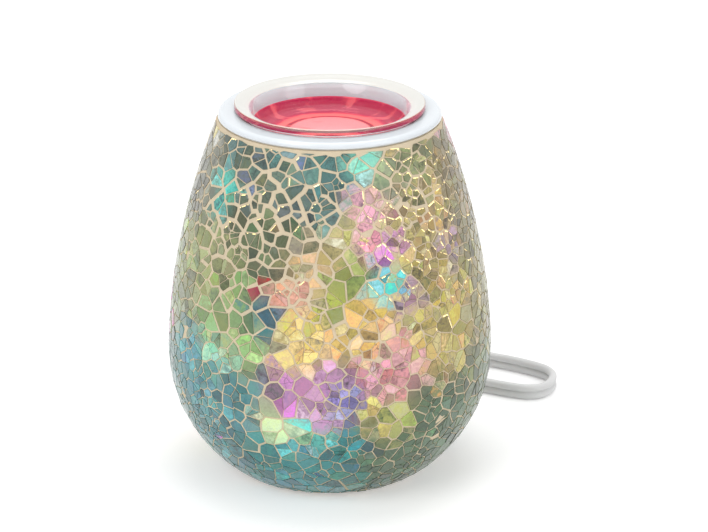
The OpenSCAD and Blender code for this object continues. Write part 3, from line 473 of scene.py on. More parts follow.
# the mosaic: cells grown on the skin by Geometry Nodes, then given their colours
mosaicSet = {
    "seed": 11,
    "around": 192, "upwards": 96, "spare": 7,   # the guide's grid, and how far it runs past the edges
    "chipSpacing": 2.3,             # least distance between two chips' middles
    "chipCrowd": 0.06,              # chips tried for each square millimetre where they are smallest
    "shardCrowd": 0.07,             # shards strewn between them, as near to another as chance puts them
    "shortSide": 0.6,               # sides shorter than this are closed up
    "leastArea": 1.6,               # cells smaller than this are left out, in square millimetres
    "cornerWander": 5,              # how far the chips' corners stray where the chips are large
    "wanderScale": 230, "looseWander": 0.5,
    "tileSpacing": 8.2, "tileCrowd": 0.06,
    "tileShrink": 0.055,            # how far a tile's chips draw in towards its middle, as a share
    "shrinkScale": 60, "shrinkSpread": (0.38, 0.62, 0.6, 2.6),
    "crack": 0.38,                  # width of the crack between two chips of one tile
    "crackSpread": (0.4, 1.9), "crackLeast": 0.5, "crackLoose": 1.1,
    "lost": 0.07,                   # share of the small chips that are missing, where only grout shows
    "lostBelow": 3.2,               # and the size below which a chip is small
    "backDepth": 1.05, "chipHeight": 0.88, "bevel": 0.16, "tilt": 0.03,
    "rimWide": 1.9, "rimGilded": 2.8,           # a rim in bevels, and what a rim with a painted glint, a highlight on its edge, has on top
    "lowEdge": 2.2, "highEdge": 156.5, "edgeWander": 1.2, "edgeScale": 130, "edgeSpare": 1.4,
    "belowEdge": 0.6, "aboveEdge": 1.2,         # nothing reaches further past the two edges
    "exitClear": 8.8,

    # zones: degrees right of the front, height, reach, and the share that holds at their middle
    # where chips are small, and between the zones a slow noise decides
    "elsewhere": 0.35, "slowScale": 34, "slowCrowd": (0.6, 0.9), "leastCrowd": 0.2,
    "crowds": [(48, 128, 28, 1.0), (-24, 126, 20, 0.85), (-38, 152, 14, 0.8), (3, 97, 13, 0.22),
               (-36, 84, 17, 0.25), (-8, 64, 15, 0.3), (38, 72, 18, 0.45), (0, 28, 30, 0.55)],
    # where the chips' rims get painted glints: gold highlights that stand for light caught on their edges
    "glintZones": [(44, 130, 24, 1.0), (30, 112, 15, 0.8), (-34, 132, 20, 0.35), (-20, 108, 14, 0.3),
              (60, 100, 16, 0.5), (150, 120, 30, 0.6), (-120, 130, 26, 0.5)],
    # where grout shows wide between the tiles, on top of a little everywhere
    "looseLeast": 0.3,
    "looses": [(-24, 130, 24, 1.0), (-10, 106, 12, 0.7), (-54, 124, 20, 0.8), (-36, 98, 14, 0.55),
               (32, 140, 18, 0.5), (8, 84, 16, 0.3), (150, 60, 24, 0.7), (-130, 100, 22, 0.6)],

    # the glass: noises that tint, fleck, speckle, crack and ripple it, and break its painted glints into
    # dashes, with what each is read from and to, and what that becomes
    "driftScale": 210, "driftShare": (0.45, 0.62, 0.0, 0.6), "driftGloss": (0.3, 0.7, 0.2, 0.42),
    "fleckScale": 900, "fleckShare": (0.48, 0.62, 0.0, 0.35),
    "speckleScale": 1400, "speckleTone": (0.3, 0.7, 0.92, 1.08),
    "hairScale": 210, "hairLine": (0.01, 0.03, 0.5, 0.0), "bendScale": 300, "hairBend": 2.2,
    "hairPatchScale": 48, "hairPatch": (0.5, 0.56),
    "dashScale": 620, "dashShare": (0.46, 0.5),
    "rippleScale": 330, "ripple": 0.14, "rippleDepth": 0.4,
    "coat": 0.55, "coatRoughness": 0.07, "specular": 0.4,
    # the painted glints: a gold highlight colour, and a glow that makes them shine though they are no lamp
    "glintColour": (255, 232, 168), "glintGlow": (255, 226, 150), "glintStrength": 1.7,

    # the chips' colours
    "hueSpread": 0.02,
    "strength": (1.14, 0.22), "value": (1.03, 0.17),    # against their patch: middle and spread
    "darkShare": 0.1, "darkValue": 0.6,     # some chips are much darker than their neighbours
    "darkLoose": 3,                         # and more of them where grout shows wide
    "strangers": 0.24,              # share of the chips that don't take their tile's colour
    "patchFall": 1.3,               # how fast a patch stops counting with distance
    "sheenSpread": 1.4,
    "runShare": 0.55, "runLength": 2.6,     # a chip's colour runs towards its second one
    "fieldShare": 0.36,             # how far it follows the colours run together, whatever the chip
    "fieldStrength": 1.35, "fieldFall": 2.2,
    "shineSpread": 0.2, "shineRange": (0.45, 1.5),
    "darkRims": 0.3, "darkRim": 0.7,        # share of the chips, and what it leaves of their tone
    "rimLight": (0.62, 0.78), "rimReach": 0.66,
    "leastStrength": 0.04, "leastValue": 0.12,

    # more patches in the same colours, scattered over the rest of the vessel by their own seed
    "backSeed": 5, "backPatches": 46, "backReach": (6, 17), "backTurn": (95, 265), "backHeight": (6, 156),
}


def onBody(angle, height):
    a, r = math.radians(angle), bodyRadius(height) * mm
    return Vector((r * math.sin(a), -r * math.cos(a), height * mm))


def zonesAt(spot, zones):
    # how much each zone counts at a place, with the zone's own share
    return [(math.exp(-((spot - onBody(angle, height)).length / (reach * mm)) ** 2), share)
            for angle, height, reach, share in zones]


def crowdAt(spot):
    # how closely the chips lie at a place
    m = mosaicSet
    middle, swing = m["slowCrowd"]
    slow = middle + swing * noise.noise(spot * m["slowScale"])
    total, share = m["elsewhere"], m["elsewhere"] * min(1, max(m["leastCrowd"], slow))
    for pull, crowd in zonesAt(spot, m["crowds"]):
        total += pull
        share += pull * crowd
    return share / total


def glintShareAt(spot):
    return max(share * pull for pull, share in zonesAt(spot, mosaicSet["glintZones"]))


def looseAt(spot):
    return mosaicSet["looseLeast"] + max(share * pull for pull, share in zonesAt(spot, mosaicSet["looses"]))


def makeSkinGuide():
    # the skin as a grid that knows each point's place on a ball, by a map that keeps shapes true
    m = mosaicSet
    low, high = vesselSet["foot"] - m["spare"], vesselSet["top"] + m["spare"]
    heights = [low + (high - low) * i / m["upwards"] for i in range(m["upwards"] + 1)]
    radii = [skinRadius(z, m["backDepth"]) for z in heights]
    climb = [0.0]
    for i in range(m["upwards"]):
        rise = math.hypot(heights[i + 1] - heights[i], radii[i + 1] - radii[i])
        climb.append(climb[-1] + rise * 2 / (radii[i] + radii[i + 1]))
    points, ball = [], []
    for z, r, c in zip(heights, radii, climb):
        latitude = 2 * math.atan(math.exp(c - climb[-1] / 2)) - math.pi / 2
        for k in range(m["around"]):
            a = 2 * math.pi * k / m["around"]
            points.append((r * mm * math.sin(a), -r * mm * math.cos(a), z * mm))
            ball.append((math.cos(latitude) * math.sin(a), -math.cos(latitude) * math.cos(a),
                         math.sin(latitude)))
    mesh = bpy.data.meshes.new("skinGuide")
    mesh.from_pydata(points, [], rowFaces(len(heights), m["around"]))
    for name, values in (("home", points), ("ball", ball)):
        mesh.attributes.new(name, "FLOAT_VECTOR", "POINT").data.foreach_set("vector", np.ravel(values))
    for name, rule in (("crowd", crowdAt), ("gild", glintShareAt), ("loose", looseAt)):
        values = [rule(Vector(p)) for p in points]
        mesh.attributes.new(name, "FLOAT", "POINT").data.foreach_set("value", values)
    return newObject("skinGuide", mesh)


def treeSizes():
    # what the tree takes by name, in metres: "chipSpacing" is its input Chip Spacing
    lengths = ("chipSpacing", "shortSide", "cornerWander", "tileSpacing", "crack", "lostBelow",
               "chipHeight", "bevel", "lowEdge", "highEdge", "edgeWander", "edgeSpare", "belowEdge",
               "aboveEdge", "exitClear")
    plain = ("wanderScale", "looseWander", "tileShrink", "shrinkScale", "crackLeast", "crackLoose",
             "lost", "tilt", "rimWide", "rimGilded", "edgeScale")
    units = {key: mm for key in lengths}
    units.update({key: 1 / mm ** 2 for key in ("chipCrowd", "shardCrowd", "tileCrowd")})
    units.update({key: 1.0 for key in plain}, leastArea=mm ** 2)
    return {"".join(" " + c if c.isupper() else c for c in key).title(): float(mosaicSet[key] * unit)
            for key, unit in units.items()}


def makeMosaicTree(finish):
    takes = {"Geometry": ("Geometry", None), "Exit": ("Vector", None), "Seed": ("Int", 1)}
    takes.update({label: ("Float", value) for label, value in treeSizes().items()})
    tree, given, result = newGroup("mosaicSkin", "GeometryNodeTree", takes,
                                   {"Geometry": ("Geometry", None)})
    guide, seed = given["Geometry"], given["Seed"]

    def geo(kind, inputs=None, give=0, **settings):
        return take(tree, "GeometryNode" + kind, inputs, give, **settings)

    def named(name, sort="FLOAT_VECTOR"):
        return geo("InputNamedAttribute", {"Name": name}, "Attribute", data_type=sort)

    def size():
        return named("size", "FLOAT")

    def position():
        return geo("InputPosition")

    def moveTo(geometry, place, **more):
        return geo("SetPosition", {"Geometry": geometry, "Position": place, **more})

    def keep(geometry, name, value, sort="FLOAT_VECTOR", domain="POINT", **more):
        return geo("StoreNamedAttribute", {"Geometry": geometry, "Name": name, "Value": value, **more},
                   data_type=sort, domain=domain)

    def ofFace(value, sort="FLOAT_VECTOR"):
        return geo("FieldOnDomain", {"Value": value}, data_type=sort, domain="FACE")

    def nearest(mesh, value, spot, sort="FLOAT_VECTOR"):
        return geo("SampleNearestSurface", {"Mesh": mesh, "Value": value, "Sample Position": spot},
                   "Value", data_type=sort)

    def onSkin(spot):
        return nearest(guide, position(), spot)

    def guideAt(name, spot):
        # a number that the guide's points carry, read at the spot
        return nearest(guide, named(name, "FLOAT"), spot, "FLOAT")

    def heldBetween(low, high):
        # the point's own place, with its height kept between the two
        split = put(tree, "ShaderNodeSeparateXYZ", {0: position()})
        held = sums(tree, "MINIMUM", sums(tree, "MAXIMUM", out(split, "Z"), low), high)
        return take(tree, "ShaderNodeCombineXYZ", {0: out(split, "X"), 1: out(split, "Y"), 2: held})

    def drop(geometry, a, operation, b):
        # the faces go where that comparison holds
        chosen = take(tree, "FunctionNodeCompare", {"A": a, "B": b}, data_type="FLOAT",
                      operation=operation)
        return geo("DeleteGeometry", {"Geometry": geometry, "Selection": chosen}, domain="FACE")

    def scatter(method, inputs):
        return geo("DistributePointsOnFaces", {"Mesh": guide, "Seed": seed, **inputs}, "Points",
                   distribute_method=method)

    def diced(low, high, shift=0, sort="FLOAT"):
        # drawn anew for each chip, and each shift of the seed gives another draw
        drawnSeed = sums(tree, "ADD", seed, float(shift)) if shift else seed
        return take(tree, "FunctionNodeRandomValue",
                    {"Min": low, "Max": high, "Seed": drawnSeed,
                     "ID": geo("InputMeshIsland", give="Island Index")}, "Value", data_type=sort)

    def join(*parts):
        made = tree.nodes.new("GeometryNodeJoinGeometry")
        for part in parts:
            tree.links.new(part, made.inputs[0])
        return out(made)

    # points scattered over the skin, thinner in some places, are carried to the ball and hulled:
    # the hull's dual is a net of cells, which is carried back to the skin
    crowd = named("crowd", "FLOAT")
    chips = scatter("POISSON", {"Distance Min": given["Chip Spacing"], "Density Factor": crowd,
                                "Density Max": given["Chip Crowd"]})
    shards = scatter("RANDOM", {"Density": sums(tree, "MULTIPLY", crowd, given["Shard Crowd"])})
    hull = geo("ConvexHull", {"Geometry": moveTo(join(chips, shards), named("ball"))})
    hull = keep(hull, "corner", geo("InputNormal"), domain="FACE")
    cells = moveTo(geo("DualMesh", {"Mesh": hull}), named("corner"))
    cells = moveTo(cells, nearest(moveTo(guide, named("ball")), named("home"), position()))

    # cells past the edges go, and short sides are closed up
    faceHeight = take(tree, "ShaderNodeSeparateXYZ", {0: ofFace(position())}, "Z")
    midHeight = sums(tree, "MULTIPLY", sums(tree, "ADD", given["Low Edge"], given["High Edge"]), 0.5)
    offMiddle = sums(tree, "ABSOLUTE", sums(tree, "SUBTRACT", faceHeight, midHeight))
    halfSpan = sums(tree, "ADD", given["Edge Spare"], sums(tree, "SUBTRACT", given["High Edge"], midHeight))
    cells = drop(cells, offMiddle, "GREATER_THAN", halfSpan)
    cells = geo("MergeByDistance", {"Geometry": cells, "Distance": given["Short Side"]})

    # corners stray, further where the chips are large or the grout shows wide
    stray = vectors(tree, "SUBTRACT", noiseOf(tree, None, given["Wander Scale"], "Color", detail=1.0),
                    (0.5, 0.5, 0.5))
    strayFar = sums(tree, "MULTIPLY_ADD", guideAt("loose", position()), given["Loose Wander"],
                    sums(tree, "SUBTRACT", 1.0, guideAt("crowd", position())))
    strayFar = sums(tree, "MULTIPLY", given["Corner Wander"], strayFar)
    cells = moveTo(cells, position(), Offset=vectors(tree, "SCALE", stray, scale=strayFar))

    # the net stops at a wandering line short of both edges, and round the flex's bushing
    wander = sums(tree, "SUBTRACT", noiseOf(tree, None, given["Edge Scale"], detail=2.0), 0.5)
    away = sums(tree, "MULTIPLY", wander, given["Edge Wander"])
    cells = moveTo(cells, onSkin(heldBetween(sums(tree, "MULTIPLY_ADD", away, 2.0, given["Low Edge"]),
                                             sums(tree, "MULTIPLY_ADD", away, 2.0, given["High Edge"]))))
    fromExit = vectors(tree, "DISTANCE", ofFace(position()), given["Exit"])
    cells = drop(cells, fromExit, "LESS_THAN", given["Exit Clear"])
    area = geo("InputMeshFaceArea")
    cells = drop(cells, area, "LESS_THAN", given["Least Area"])
    outwards = vectors(tree, "SUBTRACT", position(), given["Exit"])
    reach = sums(tree, "MAXIMUM", vectors(tree, "LENGTH", outwards), given["Exit Clear"])
    pushed = vectors(tree, "SCALE", vectors(tree, "NORMALIZE", outwards), scale=reach)
    cells = moveTo(cells, onSkin(vectors(tree, "ADD", given["Exit"], pushed)))

    # every cell becomes its own piece, which knows its middle, its tile and its size
    pieces = keep(geo("SplitEdges", {"Mesh": cells}), "chipAt", ofFace(position()))
    tiles = scatter("POISSON", {"Distance Min": given["Tile Spacing"],
                                "Density Max": given["Tile Crowd"]})
    tile = geo("SampleNearest", {"Geometry": tiles, "Sample Position": named("chipAt")}, domain="POINT")
    tileAt = geo("SampleIndex", {"Geometry": tiles, "Value": position(), "Index": tile},
                 data_type="FLOAT_VECTOR", domain="POINT")
    pieces = keep(pieces, "tileAt", tileAt)
    pieces = keep(pieces, "size", sums(tree, "SQRT", ofFace(area, "FLOAT")), "FLOAT")

    # tiles draw in to leave grout between them, and chips a little more to leave cracks
    loose = guideAt("loose", named("tileAt"))
    uneven = remap(tree, noiseOf(tree, named("tileAt"), given["Shrink Scale"]), *mosaicSet["shrinkSpread"])
    shrinkShare = sums(tree, "MULTIPLY", sums(tree, "MULTIPLY", given["Tile Shrink"], loose), uneven)
    towards = vectors(tree, "SUBTRACT", named("tileAt"), named("chipAt"))
    drawn = vectors(tree, "SCALE", towards, scale=shrinkShare)
    looseCrack = sums(tree, "MULTIPLY", given["Crack"], sums(
        tree, "MULTIPLY_ADD", loose, given["Crack Loose"], given["Crack Least"]))
    crack = sums(tree, "MULTIPLY", looseCrack, diced(*mosaicSet["crackSpread"]))
    less = sums(tree, "ADD", sums(tree, "DIVIDE", crack, size()), shrinkShare)
    inwards = vectors(tree, "SCALE", vectors(tree, "SUBTRACT", named("chipAt"), position()), scale=less)
    pieces = moveTo(pieces, onSkin(vectors(tree, "ADD", position(), vectors(tree, "ADD", drawn, inwards))))
    pieces = keep(pieces, "chipAt", ofFace(position()))

    # some chips get rims with painted glints, highlights where light would catch them, and a few small ones
    # are missing
    gilded = sums(tree, "LESS_THAN", diced(0.0, 1.0, 1), guideAt("gild", named("chipAt")))
    pieces = keep(pieces, "gilded", gilded, "FLOAT")
    missing = sums(tree, "MULTIPLY", sums(tree, "LESS_THAN", diced(0.0, 1.0, 2), given["Lost"]),
                   sums(tree, "LESS_THAN", size(), given["Lost Below"]))
    pieces = drop(pieces, missing, "GREATER_THAN", 0.5)

    # each chip lies a little askew
    lean = diced((-1.0, -1.0, -1.0), (1.0, 1.0, 1.0), sort="FLOAT_VECTOR")
    arm = vectors(tree, "SUBTRACT", position(), named("chipAt"))
    lift = sums(tree, "MULTIPLY", vectors(tree, "DOT_PRODUCT", arm, lean), given["Tilt"])
    normal = ofFace(geo("InputNormal"))
    pieces = moveTo(pieces, position(), Offset=vectors(tree, "SCALE", normal, scale=lift))

    # thickness, with a bevelled front edge, and a closed back
    thick = sums(tree, "SUBTRACT", given["Chip Height"], given["Bevel"])
    raised = put(tree, "GeometryNodeExtrudeMesh",
                 {"Mesh": pieces, "Offset Scale": thick, "Individual": True}, mode="FACES")
    fronts = put(tree, "GeometryNodeExtrudeMesh",
                 {"Mesh": out(raised, "Mesh"), "Selection": out(raised, "Top"),
                  "Offset Scale": given["Bevel"], "Individual": True}, mode="FACES")
    rimmed = keep(out(fronts, "Mesh"), "rim", 1.0, "FLOAT", "FACE", Selection=out(fronts, "Side"))
    rimWide = sums(tree, "MULTIPLY", given["Bevel"], sums(
        tree, "MULTIPLY_ADD", named("gilded", "FLOAT"), given["Rim Gilded"], given["Rim Wide"]))
    shrink = sums(tree, "SUBTRACT", 1.0, sums(tree, "DIVIDE", rimWide, size()))
    bevelled = geo("ScaleElements", {"Geometry": rimmed, "Selection": out(fronts, "Top"),
                                     "Scale": shrink}, domain="FACE")
    joined = join(bevelled, geo("FlipFaces", {"Mesh": pieces}))
    welded = geo("MergeByDistance", {"Geometry": joined, "Distance": 1e-7})
    # nothing reaches past the skin's foot or its top
    welded = moveTo(welded, heldBetween(sums(tree, "SUBTRACT", given["Low Edge"], given["Below Edge"]),
                                        sums(tree, "ADD", given["High Edge"], given["Above Edge"])))
    real = geo("RealizeInstances", {"Geometry": welded})
    fill(tree, result, {"Geometry": geo("SetMaterial", {"Geometry": real, "Material": finish})})
    return tree


def grow(host, tree, values, name):
    # runs a tree on its host and keeps the result as a plain mesh
    modifier = host.modifiers.new("grow", "NODES")
    modifier.node_group = tree
    keys = {item.name: item.identifier for item in tree.interface.items_tree if item.in_out == "INPUT"}
    for label, value in values.items():
        modifier[keys[label]] = value
    graph = bpy.context.evaluated_depsgraph_get()
    mesh = bpy.data.meshes.new_from_object(host.evaluated_get(graph))
    host.modifiers.remove(modifier)
    mesh.name = name
    return newObject(name, mesh)


def makeMosaicFinish():
    m = mosaicSet
    finish, tree, shader = newFinish("mosaicGlass")
    place = objectPlace(tree)
    chip = put(tree, "ShaderNodeAttribute", attribute_name="chipColour")
    second = take(tree, "ShaderNodeAttribute", give="Color", attribute_name="chipSheen")
    # the second colour of the film drifts over the first and flecks it
    drift = noiseOf(tree, place, m["driftScale"], detail=3.0, distortion=1.2)
    fleck = noiseOf(tree, place, m["fleckScale"], detail=2.0)
    share = sums(tree, "ADD", remap(tree, drift, *m["driftShare"]), remap(tree, fleck, *m["fleckShare"]))
    film = mixed(tree, share, out(chip, "Color"), second)
    speckle = remap(tree, noiseOf(tree, place, m["speckleScale"], detail=2.0), *m["speckleTone"])
    # hairlines run through the chips in places, and some rims carry painted glints in short dashes, gold and
    # glowing
    bend = vectors(tree, "SCALE", noiseOf(tree, place, m["bendScale"], "Color"), scale=m["hairBend"] * mm)
    line = take(tree, "ShaderNodeTexVoronoi",
                {"Vector": vectors(tree, "ADD", place, bend), "Scale": m["hairScale"]}, "Distance",
                feature="DISTANCE_TO_EDGE")
    where = remap(tree, noiseOf(tree, place, m["hairPatchScale"], detail=1.0), *m["hairPatch"])
    hair = sums(tree, "MULTIPLY", remap(tree, line, *m["hairLine"]), where)
    tone = sums(tree, "MULTIPLY", speckle, sums(tree, "SUBTRACT", 1.0, hair))
    dash = remap(tree, noiseOf(tree, place, m["dashScale"]), *m["dashShare"])
    glint = sums(tree, "MULTIPLY", dash, out(chip, "Alpha"))
    shaded = mixed(tree, 1.0, film, shade(tree, tone), blend_type="MULTIPLY")
    ripple = noiseOf(tree, place, m["rippleScale"], detail=2.0)
    # the base colour takes the painted glints, and the emission makes them glow
    fill(tree, shader, {
        "Base Color": mixed(tree, glint, shaded, rgba(*m["glintColour"])),
        "Roughness": remap(tree, drift, *m["driftGloss"]),
        "Normal": bumped(tree, ripple, m["ripple"], m["rippleDepth"] * mm),
        "Emission Color": mixed(tree, glint, (0, 0, 0, 1), rgba(*m["glintGlow"])),
        "Emission Strength": m["glintStrength"], "Coat Weight": m["coat"],
        "Coat Roughness": m["coatRoughness"], "Specular IOR Level": m["specular"]})
    return finish


# where each colour of glass lies: degrees right of the front, height, reach in millimetres,
# colour, and how much it counts against the others there
mosaicSet["patches"] = [
    (-32, 150, 15, (90, 118, 114), 1.2), (-8, 149, 12, (82, 116, 114), 1.2),
    (-18, 143, 8, (104, 126, 104), 1.3), (-2, 134, 7, (112, 138, 128), 1.2),
    (-30, 137, 6, (158, 168, 142), 1.1), (-12, 134, 7, (92, 106, 112), 1.2),
    (-38, 140, 14, (98, 106, 80), 1.4), (-20, 124, 13, (100, 112, 84), 1.5),
    (-58, 105, 16, (150, 156, 114), 1.2), (-52, 135, 7, (112, 200, 186), 1.4),
    # the first patch below, a bright mint spot, is a painted highlight, a reflection off the glass's film
    (15, 154, 5, (168, 246, 222), 4), (24, 150, 5, (190, 220, 160), 1.4),
    (19, 135, 6, (252, 198, 212), 3.6), (16, 122, 5, (246, 178, 190), 2.8),
    (22, 118, 5, (224, 150, 222), 2.6), (24, 105, 6, (120, 208, 212), 2.4),
    (30, 98, 6, (170, 140, 160), 1.4), (42, 125, 18, (176, 160, 114), 1.6),
    (54, 116, 8, (160, 140, 160), 1.1), (36, 146, 12, (120, 128, 96), 1.3),
    (1, 95, 5, (178, 186, 88), 2.3), (4, 110, 6, (140, 152, 92), 1.3),
    (-9, 112, 10, (196, 178, 138), 1.6), (-14, 100, 6, (226, 172, 156), 1.1),
    (6, 124, 6, (206, 198, 150), 1.2), (8, 90, 6, (214, 190, 132), 1.2),
    # the second patch below, a warm cream spot, is a painted glow: the lamp's light showing through the glass
    (46, 84, 18, (190, 174, 112), 1.5), (-10, 78, 9, (246, 216, 146), 2.8),
    (12, 84, 9, (232, 196, 134), 1.8), (-7, 62, 12, (190, 148, 182), 1.8),
    (4, 56, 7, (150, 146, 194), 1.6), (-12, 52, 4, (226, 140, 216), 3.4),
    # the first patch below, a pale mint spot, is a painted highlight, a reflection off the glass's film
    (-17, 43, 6, (218, 240, 190), 2.8), (-6, 40, 6, (146, 220, 208), 2.8),
    (-12, 33, 8, (104, 180, 178), 1.5), (-49, 44, 17, (84, 138, 142), 1.5),
    (-11, 20, 17, (60, 128, 128), 1.8), (40, 30, 20, (80, 102, 78), 2.0),
    (24, 45, 9, (176, 172, 112), 1.6), (24, 70, 11, (220, 166, 170), 1.6),
    (-26, 88, 6, (62, 116, 128), 1.8), (-27, 101, 3, (126, 48, 60), 3),
    (-38, 84, 13, (144, 168, 118), 1.5), (-60, 62, 11, (92, 146, 150), 1.2),
    (-45, 66, 7, (150, 200, 176), 1.1), (14, 50, 4, (210, 198, 126), 1.5),
    (-78, 128, 16, (136, 136, 122), 1.4), (-80, 88, 20, (138, 144, 118), 1.4),
    (-78, 42, 20, (98, 128, 124), 1.4), (74, 128, 16, (134, 126, 100), 1.4),
    (74, 84, 18, (146, 140, 102), 1.4), (74, 40, 20, (92, 106, 80), 1.4),
    (-40, 144, 6, (120, 124, 160), 1.0), (-14, 148, 5, (116, 120, 158), 1.0),
]


def scatteredPatches():
    # the front's colours again, over the rest of the vessel
    m, found = mosaicSet, []
    dice = random.Random(m["backSeed"])
    while len(found) < m["backPatches"]:
        angle, height = dice.uniform(*m["backTurn"]), dice.uniform(*m["backHeight"])
        _, _, _, colour, weight = dice.choice(m["patches"])
        found.append((angle, height, dice.uniform(*m["backReach"]), colour, weight))
    return found


def read(name, count, rows, kind=np.float32):
    values = np.zeros(count, kind)
    rows.foreach_get(name, values)
    return values


def distinct(places):
    # the places that differ, and the number of its own for each row
    spots, owner = np.unique(np.round(places, 6), axis=0, return_inverse=True)
    return spots, owner.ravel()


def cornerRims(mesh, chips, owner, gilded):
    # each face corner's vertex, whether it lies on a rim, and whether that rim gets a painted glint on its
    # side towards the light
    faces = len(mesh.polygons)
    rim = read("value", faces, mesh.attributes["rim"].data) > 0.5
    faceSize = read("loop_total", faces, mesh.polygons, np.int32)
    faceAt = read("center", faces * 3, mesh.polygons).reshape(-1, 3)
    corner = read("vertex_index", len(mesh.loops), mesh.loops, np.int32)
    ends = np.cumsum(faceSize)
    aside = faceAt - chips[owner[corner[np.concatenate(([0], ends[:-1]))]]]
    side = np.cross(faceAt * np.array((1, 1, 0)), (0, 0, -1)) * np.sign(faceAt[:, :1])
    side /= np.linalg.norm(side, axis=1, keepdims=True) + 1e-9
    # the painted glints go on the rims that face a light from the side and from above
    across, above = mosaicSet["rimLight"]
    light = across * side + above * np.array((0, 0, 1))
    lit = (aside * light).sum(1) > mosaicSet["rimReach"] * np.linalg.norm(aside, axis=1)
    paintedGlint = rim & lit & (gilded[corner[ends - 1]] > 0.5)
    faceOf = np.repeat(np.arange(faces), faceSize)
    return corner, rim[faceOf], paintedGlint[faceOf]


def colourMosaic(piece):
    m, mesh = mosaicSet, piece.data
    count = len(mesh.vertices)
    chipAt = read("vector", count * 3, mesh.attributes["chipAt"].data).reshape(-1, 3)
    tileAt = read("vector", count * 3, mesh.attributes["tileAt"].data).reshape(-1, 3)
    size = read("value", count, mesh.attributes["size"].data)
    gilded = read("value", count, mesh.attributes["gilded"].data)
    (chips, owner), (tiles, tileOwner) = distinct(chipAt), distinct(tileAt)
    tileOfChip = np.zeros(len(chips), int)
    tileOfChip[owner] = tileOwner
    patches = m["patches"] + scatteredPatches()
    centres = np.array([onBody(angle, height) for angle, height, _, _, _ in patches])
    reach = np.array([p[2] for p in patches]) * mm
    weights = np.array([p[4] for p in patches])
    glass = np.array([linear(c / 255 for c in p[3]) for p in patches])
    dice = np.random.default_rng(m["seed"])

    def pick(place):
        # a patch for a place, mostly one of the nearest; a faint pull leaves none without a chance
        far = np.linalg.norm(centres - place, axis=1) / reach
        faint = 1e-4 * np.exp(-0.25 * far)
        chance = weights * np.exp(-m["patchFall"] * far ** 2) + faint
        return dice.choice(len(patches), p=chance / chance.sum())

    def shifted(colour, spread, dark):
        # the colour a little off in hue, strength and value, and sometimes much darker
        h, s, v = colorsys.rgb_to_hsv(*(c / 255 for c in colour))
        h = (h + dice.normal(0, m["hueSpread"] * spread)) % 1
        s *= m["strength"][0] + dice.normal(0, m["strength"][1] * spread)
        v *= m["value"][0] + dice.normal(0, m["value"][1] * spread)
        v *= m["darkValue"] if dice.random() < m["darkShare"] * dark else 1
        s, v = min(1, max(m["leastStrength"], s)), min(1, max(m["leastValue"], v))
        return linear(colorsys.hsv_to_rgb(h, s, v))

    def fieldAt(spots):
        # the colours of the patches near each spot, run together
        far2 = ((spots[:, None, :] - centres[None]) ** 2).sum(2) / reach ** 2
        faint = 1e-5 * np.exp(-0.4 * far2)
        pull = weights * np.exp(-m["fieldFall"] * far2) + faint
        found = (pull @ glass) / pull.sum(1, keepdims=True)
        grey = found.mean(1, keepdims=True)
        return np.clip(grey + (found - grey) * m["fieldStrength"], 0.01, 1)

    tilePatch = [pick(place) for place in tiles]
    main, second = np.ones((len(chips), 4)), np.ones((len(chips), 4))
    for i, place in enumerate(chips):
        chosen = tilePatch[tileOfChip[i]] if dice.random() > m["strangers"] else pick(place)
        other = pick(place)
        dark = m["darkLoose"] * looseAt(Vector(place))
        main[i, :3] = shifted(patches[chosen][3], 1, dark)
        second[i, :3] = shifted(patches[other][3], m["sheenSpread"], dark)

    # a chip's colour runs from one side to the other; its rim is darker, or carries a painted glint on the
    # side towards the light
    places = read("co", count * 3, mesh.vertices).reshape(-1, 3)
    slant = dice.normal(size=(len(chips), 3))[owner]
    across = ((places - chipAt) * slant).sum(1) / (m["runLength"] * size)
    run = np.clip(0.5 + across, 0, 1)[:, None] * m["runShare"]
    vertexMain = main[owner] * (1 - run) + second[owner] * run
    shine = np.clip(dice.normal(1.0, m["shineSpread"], len(chips)), *m["shineRange"])[owner][:, None]
    field = fieldAt(places) * shine * m["fieldShare"]
    vertexMain[:, :3] = vertexMain[:, :3] * (1 - m["fieldShare"]) + field
    corner, onRim, paintedGlint = cornerRims(mesh, chips, owner, gilded)
    darkRim = onRim & (dice.random(len(chips)) < m["darkRims"])[owner[corner]]
    for name, colours in (("chipColour", vertexMain), ("chipSheen", second[owner])):
        shown = colours[corner]
        shown[darkRim, :3] *= m["darkRim"]
        # the alpha carries the mask of the painted glints
        shown[:, 3] = paintedGlint
        layer = mesh.attributes.new(name, "FLOAT_COLOR", "CORNER")
        layer.data.foreach_set("color", shown.astype(np.float32).ravel())
    for name in ("chipAt", "tileAt", "size", "home", "ball", "rim", "crowd", "gild", "loose", "gilded"):
        if name in mesh.attributes:
            mesh.attributes.remove(mesh.attributes[name])
    print("mosaic:", len(chips), "chips in", len(tiles), "tiles")


skinGuide = makeSkinGuide()
mosaic = grow(skinGuide, makeMosaicTree(makeMosaicFinish()), {
    **treeSizes(), "Exit": tuple(exitMiddle * mm), "Seed": mosaicSet["seed"]}, "mosaicChips")
bpy.data.objects.remove(skinGuide)
colourMosaic(mosaic)
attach(mosaic, "warmer")
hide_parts("mosaic_chips")
print("mosaic triangles:", sum(len(p.vertices) - 2 for p in mosaic.data.polygons))


# the grout: a coat from the glass nearly to the chips' faces
groutSet = {
    "faceDepth": 0.47, "backDepth": 2.65,
    "relief": 0.12,             # how far its face rises and falls
    "reliefSize": 5,
    "reliefMiddle": 0.4,        # a noise above this raises it, and one below lowers it
    "rows": 110, "steps": 256,
    "holeR": 6.4,               # where the flex's bushing passes through
    "colour": (224, 207, 178),
}


